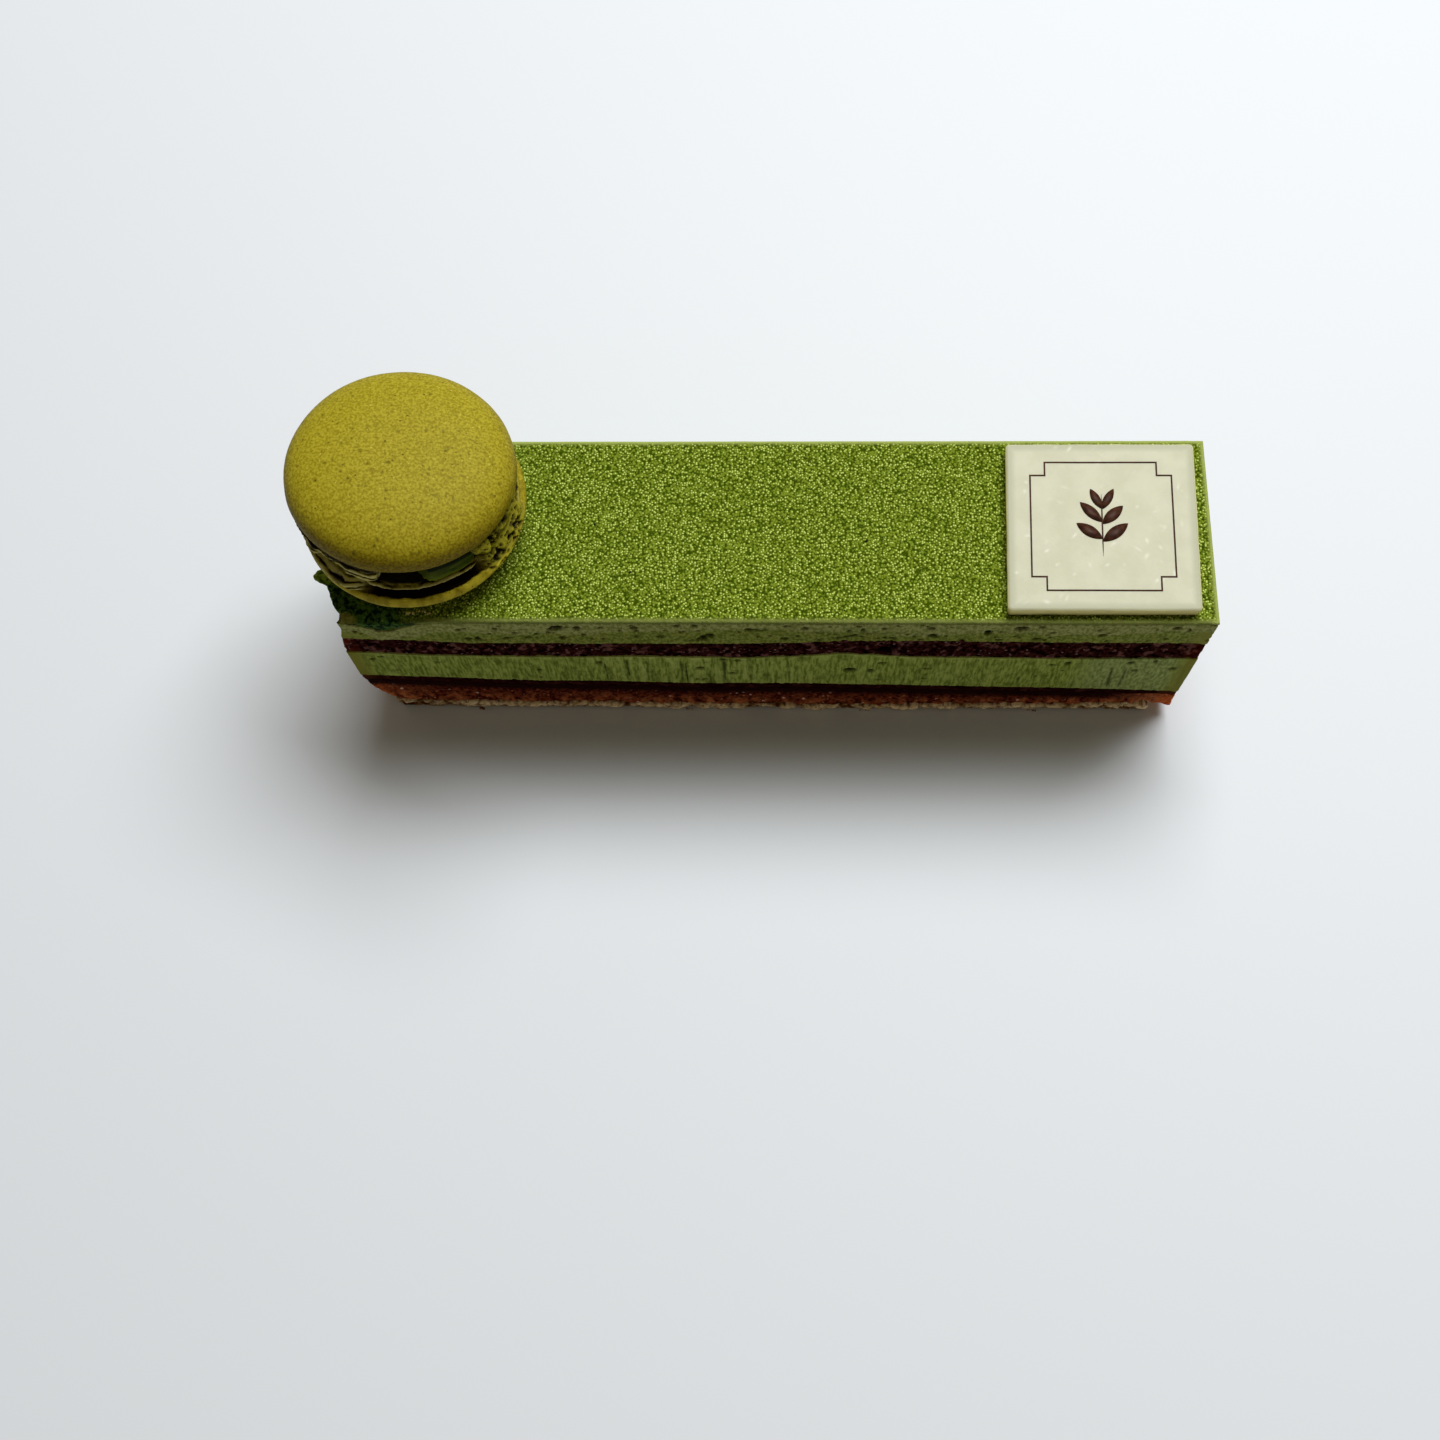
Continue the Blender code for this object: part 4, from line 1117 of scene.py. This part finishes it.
def macaronLower():
    # dome downwards on a flat spot and a smooth band at its widest; above it the foot, or at the
    # front a deep groove, painted dark as shade, between the band and the foot's thin light lip
    radius, rim = macaron["radius"], macaron["lowerDome"]
    angle = bearings(macaron["columns"])
    t = np.linspace(1, 0, 30)
    bellyR = radius - (radius - macaron["restRadius"]) * t
    bellyZ = rim * (1 - t ** 0.62) - 0.28 * t
    belly = spread(np.stack([bellyR, bellyZ], -1), macaron["bellyRows"])[:-1]
    whole = [(15.4, 3.9), (15.36, 4.2), (15.15, 4.5), (14.85, 4.7), (14.65, 4.75), (14.5, 4.85),
             (14.75, 5.1), (14.8, 5.5), (14.6, 5.95), (14.1, 6.3), (13.4, 6.35), (12.0, 6.35)]
    split = [(15.4, 3.9), (15.32, 4.3), (15.05, 4.75), (14.75, 5.0), (14.5, 4.85), (14.2, 4.4),
             (13.4, 4.1), (12.4, 4.2), (12.2, 4.9), (12.4, 5.6), (13.2, 5.85), (13.75, 6.05),
             (13.8, 6.2), (13.6, 6.35), (13.1, 6.4), (12.0, 6.35)]
    cracked = facing(angle, macaron["cracked"], 9)
    count = macaron["sideRows"]
    whole, split = spread(whole, count), spread(split, count)
    roof = np.array([(11.0, macaron["lowerTop"]), (8.0, macaron["lowerTop"])])
    profile = np.concatenate([
        belly[..., None] + 0 * angle,
        whole[..., None] * (1 - cracked) + split[..., None] * cracked,
        roof[..., None] + 0 * angle,
    ])
    r, z = profile[:, 0], profile[:, 1]
    ring = around(r, angle, z)
    row = np.concatenate([np.full(len(belly), -1.0), np.linspace(0, 1, count), [1, 1]])[:, None]
    # along the split profile the groove runs from 0.20 to 0.66 and the light lip sits near 0.77
    # painted shade: the groove, and the plate inside the cave, are coloured dark
    groove = smooth((row - 0.16) / 0.05) * smooth((0.72 - row) / 0.05) * cracked
    lip = hill(row, 0.77, 0.025) * cracked
    inside = smooth((13.35 - r) / 0.5) * smooth((row - 0.8) / 0.05)
    hole = np.maximum(holes(angle, z, macaron["lowerHoles"], 14.6),
                      holes(angle, z - 0.8 * r, (macaron["mouth"],), 14.4))
    start = 0.46 - 0.26 * facing(angle, (-142, 30), 12)
    isFoot = np.maximum(smooth((row - start) / 0.08) * (1 - cracked),
                        smooth((row - 0.70) / 0.05) * cracked)
    isFoot = isFoot * smooth((r - radius + 2.8) / 0.5)
    out, shadeAndDarkTone, light = footRelief(ring, angle, z - 0.8 * r, 203)
    frayed = layeredNoise(ring * [1, 1, 0], 1.2, 233, 4, 0.75)
    edge = hill(row, 0.17, 0.06)
    fine = 0.08 * layeredNoise(ring, 4.0, 207, 2) + 0.03 * layeredNoise(ring, 0.9, 209, 2)
    spill = facing(angle, macaron["porous"]) * smooth((z - rim - 0.2) / 0.4) * (1 - cracked)
    bulge = 0.6 * facing(angle, macaron["bulge"]) * smooth((z - rim - 1.0) / 0.5)
    shown = np.maximum(isFoot, spill) * (1 - 0.6 * lip)
    grow = shown * (0.8 * out + bulge) + (1 - isFoot) * fine + 0.3 * spill
    grow = grow + 0.45 * lip * frayed - 0.05 - 0.3 * hole
    ring = pushedOut(ring, r, grow * smooth((r - 5) / 6))
    ring[..., 2] += frayed * (0.55 * edge * cracked + 0.40 * lip) - 0.25 * shown * shadeAndDarkTone - 0.4 * hole
    brown = smooth((z - rim + 0.7) / 0.7) * (row < 0.3) * (0.35 + 0.8 * layeredNoise(ring, 1.2, 235, 3))
    belt = 0.3 * hill(z, rim - 0.7, 0.3) * (row < 0.1)
    strands = shown * (0.2 + 0.5 * light) * facing(angle, macaron["ruffles"])
    values = {
        "shadeAndDarkTone": np.clip(shown * shadeAndDarkTone * (1 - lip) + groove + hole + 0.97 * inside, 0, 1),
        "tone": np.clip(shown * light + 0.8 * lip * (0.7 + 0.6 * frayed) + belt, 0, 1),
        "bakeAndShade": np.clip((1 - shown) * brown, 0, 1),
        # painted light: the lower rows of the band's front are tinted lighter and golden
        "paintedFrontLight": 0.6 * facing(angle, (-90, 60), 20) * smooth((z - 1.5) / 1.0) * (row < 0.18),
        "pale": np.clip(strands + 0.8 * lip * (0.8 + frayed), 0, 1),
        "olive": np.clip(spill * shown, 0, 1),
    }
    ring += np.array([*macaron["lowerCentre"], bar["height"] + macaron["gap"]])
    ring[..., 0] = np.maximum(ring[..., 0], macaron["leftEnd"])
    return ringBody("macaronLowerPiece", ring, values)


def macaronFilling():
    # a disc of cream whose roof follows the tipped shell, with a soft side that bulges where it shows
    angle = bearings(macaron["columns"])
    share = np.linspace(0, 1, macaron["fillingRows"])[:, None]
    centre = (np.array(macaron["lowerCentre"]) + np.array(macaron["upperCentre"])) / 2
    flat = around(14, angle, 2.8 * share)
    swell = np.sin(np.pi * share) ** 0.6
    opening = facing(angle, macaron["opening"])
    r = macaron["fillingRadius"] - 1.0 + 0.5 * swell + 0.3 * layeredNoise(flat, (5, 5, 2), 301, 3)
    ragged = angle + 0.10 * layeredNoise(flat, 1.3, 305, 3, 0.7)
    r = r + (0.65 + 0.15 * swell - 0.5 * share) * opening - 1.3 * facing(ragged, (-91, 15), 5)
    streaks = layeredNoise(flat, (4.0, 4.0, 0.4), 303, 3, 0.7)
    r += 0.07 * streaks
    x, y = centre[0] + r * np.cos(angle), centre[1] + r * np.sin(angle)
    up = tiltMatrix() @ np.array([0, 0, 1.0])
    under = np.array([*macaron["upperCentre"], macaron["upperRim"]]) - up * (macaron["footHeight"] - 0.05)
    raised = 1.15 * opening
    low = bar["height"] + macaron["gap"] + macaron["lowerTop"] - 0.25
    ceiling = under[2] - (up[0] * (x - under[0]) + up[1] * (y - under[1])) / up[2]
    z = low + share * (np.maximum(ceiling - low, 0.3) + raised * smooth((r - 11) / 2) * share)
    # painted shade: the top of the filling's side, under the cap's rim, is darkened
    values = {
        "tone": np.clip(0.25 + 0.9 * streaks + 0.9 * smooth((0.4 - share) / 0.3), 0, 1),
        "shadeAndDarkTone": np.clip(smooth((share - 0.58) / 0.12) + 0.3 * smooth(-3 * streaks - 0.4), 0, 1),
    }
    return ringBody("macaronFillingPiece", np.stack([x, y, z], -1), values)


shellLook = {
    "dark": (0.215, 0.174, 0.002), "light": (0.355, 0.303, 0.018), "mottleScale": 3000.0,
    "spread": 0.16,
    "tints": {
        "tone": (0.46, 0.42, 0.14), "olive": (0.255, 0.235, 0.010), "pale": (0.60, 0.56, 0.20),
        "paintedFrontLight": (0.62, 0.52, 0.030),
    },
    "patches": {
        "bakeAndShade": {
            "dark": (0.125, 0.087, 0.0), "light": (0.230, 0.176, 0.001), "mottleScale": 3000.0,
            "spread": 0.14,
        },
    },
    "specks": (
        (1500.0, 0.22, 0.45, 0.7, (0.150, 0.105, 0.001)),
        (1200.0, 0.20, 0.3, 0.7, (0.480, 0.430, 0.060)), (800.0, 0.14, 0.45, 0.9, (0.080, 0.050, 0.0)),
    ),
    "shadeAndDarkToneColour": (0.008, 0.004, 0.0), "roughness": 0.6, "grainScale": 2600.0, "bumpDepth": 0.03,
    "specular": 0.12,
}
fillingLook = {
    "dark": (0.022, 0.038, 0.001), "light": (0.046, 0.068, 0.002), "mottleScale": 900.0,
    "tints": {"tone": (0.115, 0.145, 0.008)}, "shadeAndDarkToneColour": (0.006, 0.010, 0.0), "roughness": 0.5,
    "grainScale": 1800.0, "bumpDepth": 0.02, "specular": 0.03,
}
shellMaterial = foodMaterial("macaronShellLook", shellLook)
setPiece(macaronLower(), shellMaterial, "macaron_lower")
setPiece(macaronFilling(), foodMaterial("fillingLook", fillingLook), "macaron_filling")
setPiece(macaronUpper(), shellMaterial, "macaron_upper")
print("macaron made")


# The plaque

plaque = {
    "size": (25.75, 25.1),
    "thickness": 1.75,
    "centre": (44.92, -0.25),
    "lean": 0.028,  # how much its sides lean towards +X for each mm along Y
    "corner": 0.65,
    "soft": 0.4,  # radius of the softened edges
    "bottom": 33.02,
    "printHalf": 9.6,  # the printed line: half of its square, its notched corners and its width
    "printNotch": 2.0,
    "printWidth": 0.22,
    # the sprig: x, y, bearing, length and half width of its stem and of its leaves
    "leaves": ((0, -4.6, 90, 9.4, 0.10), (0, -2.4, 38, 4.4, 0.85), (0, -2.0, 146, 4.2, 0.80),
               (0, 0.2, 44, 4.0, 0.80), (0, 0.5, 134, 4.2, 0.75), (0, 2.4, 62, 3.6, 0.60),
               (0, 2.5, 116, 3.4, 0.60)),
    "flecks": 70,
}


def roundedSquare(half, corner, step):
    # the outline of a rectangle with round corners, anticlockwise, with its outward normals
    halfX, halfY = half
    places, normals = [], []
    for turnIndex, (cx, cy) in enumerate(((1, -1), (1, 1), (-1, 1), (-1, -1))):
        start = math.radians(-90 + 90 * turnIndex)
        arc = np.linspace(start, start + math.pi / 2, 8)
        ray = np.stack([np.cos(arc), np.sin(arc)], -1)
        places.append(np.array([cx * (halfX - corner), cy * (halfY - corner)]) + corner * ray)
        normals.append(ray)
        length = 2 * ((halfY if turnIndex % 2 == 0 else halfX) - corner)
        count = max(2, int(length / step))
        share = np.linspace(0, 1, count + 2)[1:-1, None]
        nextX, nextY = ((1, 1), (-1, 1), (-1, -1), (1, -1))[turnIndex]
        endRay = ray[-1]
        target = np.array([nextX * (halfX - corner), nextY * (halfY - corner)]) + corner * endRay
        places.append(places[-1][-1] + share * (target - places[-1][-1]))
        normals.append(np.tile(endRay, (count, 1)))
    return np.concatenate(places), np.concatenate(normals)


def plaqueFace(x, y):
    # height of the face over its own flat level: slow waves
    return 0.05 * layeredNoise(onPlane(x, y), (6, 6, 1), 401, 2)


def onPlaque(points):
    # from the plaque's own place to its place on the bar
    x = points[..., 0] + plaque["lean"] * points[..., 1] + plaque["centre"][0]
    y = points[..., 1] + plaque["centre"][1]
    return np.stack([x, y, points[..., 2] + plaque["bottom"]], -1)


def flatRing(outline, height):
    return np.column_stack([outline, np.full(len(outline), height)])


def onFace(outline, level):
    # an outline that follows the waves of the face
    return np.column_stack([outline, plaqueFace(*outline.T) + level])


def makePlaque():
    # rings up the side, round the soft edge and on inwards to the middle, with low dents and scuffs
    half = (plaque["size"][0] / 2, plaque["size"][1] / 2)
    outline, normal = roundedSquare(half, plaque["corner"], 0.25)
    soft, tall = plaque["soft"], plaque["thickness"]
    rings = [flatRing(outline - 2.0 * normal, 0.0)]
    for level in np.linspace(0, 1, 7):
        rings.append(flatRing(outline - 0.15 * normal * (1 - level), level * (tall - soft)))
    for turn in np.radians(np.linspace(12, 90, 7)):
        inset = soft * (1 - math.cos(turn))
        rings.append(flatRing(outline - inset * normal, tall - soft + soft * math.sin(turn)))
    edge = outline - soft * normal
    for share in np.linspace(1, 0.02, 60)[1:]:
        rings.append(flatRing(edge * share, tall))
    rings = np.stack(rings)
    onTop = smooth((rings[..., 2] - tall + 0.3) / 0.3)
    low = smooth((0.75 - rings[..., 2]) / 0.6)
    rng = np.random.default_rng(8)
    fleck = np.zeros(rings.shape[:2])
    for _ in range(plaque["flecks"]):
        px, py = rng.uniform(-12, 12), rng.uniform(-12, 12)
        turn, long = rng.uniform(0, np.pi), rng.uniform(0.15, 0.5)
        dx, dy = rings[..., 0] - px, rings[..., 1] - py
        a, b = dx * math.cos(turn) + dy * math.sin(turn), dy * math.cos(turn) - dx * math.sin(turn)
        fleck += rng.uniform(0.2, 1) ** 2 * np.exp(-np.minimum((a / long) ** 2 + (b / 0.16) ** 2, 40))
    x, y = rings[..., 0].copy(), rings[..., 1].copy()
    margin = smooth((np.maximum(np.abs(x) - half[0], np.abs(y) - half[1]) + 1.5) / 1.0)
    rings[..., 2] += onTop * (plaqueFace(x, y) + 0.03 * np.clip(fleck, 0, 1) - 0.03)
    side = 0.06 * layeredNoise(rings, (2.5, 2.5, 0.8), 403, 3)
    rings[..., :2] += (1 - onTop)[..., None] * side[..., None] * normal
    values = {
        "side": 1 - onTop,
        "low": low,
        "margin": margin * onTop,
        "fleck": 0.8 * np.clip(fleck, 0, 1) * onTop,
    }
    return ringBody("plaquePiece", onPlaque(rings), values)


def leafOutline(x, y, turn, length, width):
    # a pointed leaf: width * sin(pi * t) on both sides of its middle line
    t = np.linspace(0, 1, 13)
    bow = width * np.sin(np.pi * t) ** 0.8
    along = np.concatenate([t * length, t[-2:0:-1] * length])
    across = np.concatenate([-bow, bow[-2:0:-1]])
    turn = math.radians(turn)
    return np.stack([x + along * math.cos(turn) - across * math.sin(turn),
                     y + along * math.sin(turn) + across * math.cos(turn)], -1)


def makePrint():
    # a thin dark line round the face with stepped corners, and a sprig of leaves in the middle; each
    # is a thin body that stands a little over the face
    half, notch, wide = plaque["printHalf"], plaque["printNotch"], plaque["printWidth"] / 2
    short = half - notch
    quarter = np.array([(half, 0), (half, short), (short, short), (short, half)])
    corners = []
    for turnIndex in range(4):
        c, d = round(math.cos(turnIndex * math.pi / 2)), round(math.sin(turnIndex * math.pi / 2))
        corners.append(quarter @ np.array([[c, d], [-d, c]]))
    corners = np.concatenate(corners)
    path = []
    for start, stop in zip(corners, np.roll(corners, -1, axis=0)):
        count = max(1, int(np.linalg.norm(stop - start) / 0.6))
        path.append(start + np.linspace(0, 1, count, endpoint=False)[:, None] * (stop - start))
    path = np.concatenate(path)
    # the line's two borders: the same path a little larger and a little smaller
    ahead, behind = np.roll(path, -1, axis=0) - path, path - np.roll(path, 1, axis=0)
    normal = 0.0
    for step in (ahead, behind):
        normal = normal + np.stack([step[:, 1], -step[:, 0]], -1) / np.linalg.norm(step, axis=1)[:, None]
    normal = normal * (2 / (normal ** 2).sum(1))[:, None]
    outer, inner = path + wide * normal, path - wide * normal
    sunk, raised = plaque["thickness"] - 0.10, plaque["thickness"] + 0.015
    borders = ((outer, sunk), (outer, raised), (inner, raised), (inner, sunk))
    rings = np.stack([onFace(*border) for border in borders])
    points, faces = [onPlaque(rings).reshape(-1, 3)], [ringFaces(4, len(path))]
    index = np.arange(4 * len(path)).reshape(4, -1)
    last, firstRow = index[3], index[0]
    faces.append(np.stack([last, np.roll(last, -1), np.roll(firstRow, -1), firstRow], -1))
    triangles = []
    base = 4 * len(path)
    for leaf in plaque["leaves"]:
        outline = leafOutline(*leaf)
        size = len(outline)
        lift = raised + 0.004 * leaf[3]
        ends = [onFace(outline, sunk), onFace(outline, lift)]
        middle = outline.mean(0)[None]
        points.append(onPlaque(np.concatenate([*ends, onFace(middle, sunk), onFace(middle, lift)])))
        faces.append(ringFaces(2, size, base))
        ring = base + np.arange(2 * size).reshape(2, size)
        triangles.append(poleFaces(ring[0], base + 2 * size, False))
        triangles.append(poleFaces(ring[1], base + 2 * size + 1, True))
        base += 2 * size + 2
    return makeMesh("plaquePrintPiece", np.concatenate(points), faces + triangles, smoothShade=False)


plaqueLook = {
    "dark": (0.485, 0.490, 0.350), "light": (0.525, 0.530, 0.390), "mottleScale": 260.0,
    "tints": {
        "margin": (0.405, 0.415, 0.290), "side": (0.68, 0.63, 0.25), "low": (0.56, 0.48, 0.14),
        "fleck": (0.74, 0.75, 0.64),
    },
    "roughness": 0.45, "grainScale": 1400.0, "bumpDepth": 0.015, "specular": 0.25, "subsurface": 0.2,
    "reach": 1.2,
}
printLook = {
    "dark": (0.030, 0.010, 0.005), "light": (0.060, 0.022, 0.010), "mottleScale": 1500.0,
    "roughness": 0.5, "grainScale": 2000.0, "bumpDepth": 0.01, "specular": 0.15,
}
setPiece(makePlaque(), foodMaterial("plaqueLook", plaqueLook), "plaque")
setPiece(makePrint(), foodMaterial("printLook", printLook), None)
print("plaque made")


# Loose crumbs

crumbs = {
    # place, size and how many, each kind a piece of its own
    "pale": ((-48.7, -12.6, 33.1, 0.30, 5), (-47.5, -12.3, 33.1, 0.25, 3),
             (-46.2, -12.7, 33.1, 0.22, 3)),
    "dark": ((13.2, -1.7, 33.0, 0.22, 1), (-24.1, 0.8, 33.0, 0.25, 1), (-19.0, -6.4, 33.0, 0.22, 1),
             (5.5, 8.1, 33.0, 0.18, 1), (24.0, -9.6, 33.0, 0.18, 1)),
    "brown": ((-44.0, -14.1, 0.3, 0.25, 3), (-12.0, -14.1, 0.3, 0.25, 3), (14.0, -14.1, 0.3, 0.22, 3),
              (40.0, -14.1, 0.3, 0.25, 3), (20.0, 14.1, 0.3, 0.25, 3), (-30.0, 14.1, 0.3, 0.25, 3)),
}


def makeCrumbs(name, heaps, seed):
    # lumps of 3 rings of 7 points and two poles, each of its own size and shape, joined in one mesh
    rng = np.random.default_rng(seed)
    points, faces, base = [], [], 0
    level = np.radians([-45, 0, 45])[:, None]
    angle = bearings(7)
    for x, y, z, size, count in heaps:
        for _ in range(count):
            reach = size * rng.uniform(0.5, 1.0, 3) * [1, 1, 0.7]
            aside = [rng.normal(0, 1.6 * size * (count > 1)), rng.uniform(-0.1, 0.1), 0]
            centre = np.array([x, y, z]) + aside
            lump = np.stack([np.cos(level) * np.cos(angle), np.cos(level) * np.sin(angle),
                             np.sin(level) + 0 * angle], -1)
            lump = lump * rng.uniform(0.75, 1.15, lump.shape[:2])[..., None] * reach
            poles = np.array([[0, 0, -reach[2]], [0, 0, reach[2]]])
            body = np.concatenate([lump.reshape(-1, 3), poles]) + centre
            body[:, 2] = np.maximum(body[:, 2], 0)
            ring = base + np.arange(21).reshape(3, 7)
            points.append(body)
            faces.append(ringFaces(3, 7, base))
            faces.append(poleFaces(ring[0], base + 21, False))
            faces.append(poleFaces(ring[2], base + 22, True))
            base += 23
    return makeMesh(name, np.concatenate(points), faces)


crumbKinds = (
    # name, seed, dark and light colour, mottle scale, roughness, specular and slot
    ("pale", 3, (0.40, 0.34, 0.12), (0.62, 0.55, 0.26), 1500.0, 0.8, 0.05, "macaron_shell"),
    ("dark", 4, (0.010, 0.020, 0.006), (0.030, 0.045, 0.012), 1500.0, 0.8, 0.02, "icing"),
    ("brown", 5, (0.16, 0.06, 0.02), (0.55, 0.38, 0.20), 900.0, 0.9, 0.0, "crust"),
)
for name, seed, dark, light, size, roughness, specular, slot in crumbKinds:
    look = {"dark": dark, "light": light, "mottleScale": size, "roughness": roughness,
            "grainScale": 2600.0, "bumpDepth": 0.03, "specular": specular}
    heap = makeCrumbs(name + "Crumbs", crumbs[name], seed)
    setPiece(heap, foodMaterial(name + "CrumbLook", look), None)
print("crumbs made")


# Floor, light and camera

view = {
    "place": (0.92, -104.58, 242.99),
    "down": 69.837,  # degrees below the horizon
    "yaw": -5.476,
    "roll": 4.91,
    "focalPixels": 1700.0,
    "imagePixels": 1440.0,
    "sensorWidth": 36.0,
}


def makeCamera():
    down, yaw, roll = (math.radians(view[key]) for key in ("down", "yaw", "roll"))
    forward = Vector((math.sin(yaw) * math.cos(down), math.cos(yaw) * math.cos(down), -math.sin(down)))
    right = Vector((math.cos(yaw), -math.sin(yaw), 0))
    below = forward.cross(right)
    rolledRight = math.cos(roll) * right + math.sin(roll) * below
    rolledBelow = -math.sin(roll) * right + math.cos(roll) * below
    data = bpy.data.cameras.new("camera")
    data.sensor_width = view["sensorWidth"]
    data.lens = view["sensorWidth"] * view["focalPixels"] / view["imagePixels"]
    data.clip_start, data.clip_end = 0.01, 10
    camera = bpy.data.objects.new("camera", data)
    columns = (rolledRight, -rolledBelow, -forward, Vector(view["place"]) * mm)
    camera.matrix_world = Matrix([[*[c[i] for c in columns]] for i in range(3)] + [[0, 0, 0, 1]])
    bpy.context.scene.collection.objects.link(camera)
    bpy.context.scene.camera = camera


stage = {
    "floorHalf": 1200.0,
    "floorColour": (0.65, 0.69, 0.73),
    "skyColour": (1.0, 0.84, 0.62),
    "skyStrength": 0.16,
    # a window behind, a little to the right: place and size in metres, and power
    "windowPlace": (0.22, 0.46, 0.92),
    "windowSize": (0.8, 0.5),
    "windowPower": 14.5,
}


def makeFloor():
    half = stage["floorHalf"]
    points = [(-half, -half, 0), (half, -half, 0), (half, half, 0), (-half, half, 0)]
    floor = makeMesh("floor", points, [np.array([[0, 1, 2, 3]])])
    material = bpy.data.materials.new("floorLook")
    material.use_nodes = True
    shader = material.node_tree.nodes["Principled BSDF"]
    shader.inputs["Base Color"].default_value = (*stage["floorColour"], 1)
    shader.inputs["Roughness"].default_value = 0.6
    floor.data.materials.append(material)


def makeLight():
    world = bpy.data.worlds.new("world")
    world.use_nodes = True
    sky = world.node_tree.nodes["Background"]
    sky.inputs["Color"].default_value = (*stage["skyColour"], 1)
    sky.inputs["Strength"].default_value = stage["skyStrength"]
    bpy.context.scene.world = world
    data = bpy.data.lights.new("window", "AREA")
    data.shape = "RECTANGLE"
    data.size, data.size_y = stage["windowSize"]
    data.energy = stage["windowPower"]
    light = bpy.data.objects.new("window", data)
    light.location = stage["windowPlace"]
    light.rotation_euler = (-Vector(stage["windowPlace"])).to_track_quat("-Z", "Y").to_euler()
    bpy.context.scene.collection.objects.link(light)
    bpy.context.scene.view_settings.view_transform = "Standard"


makeCamera()
makeFloor()
makeLight()
print("floor, light and camera made")
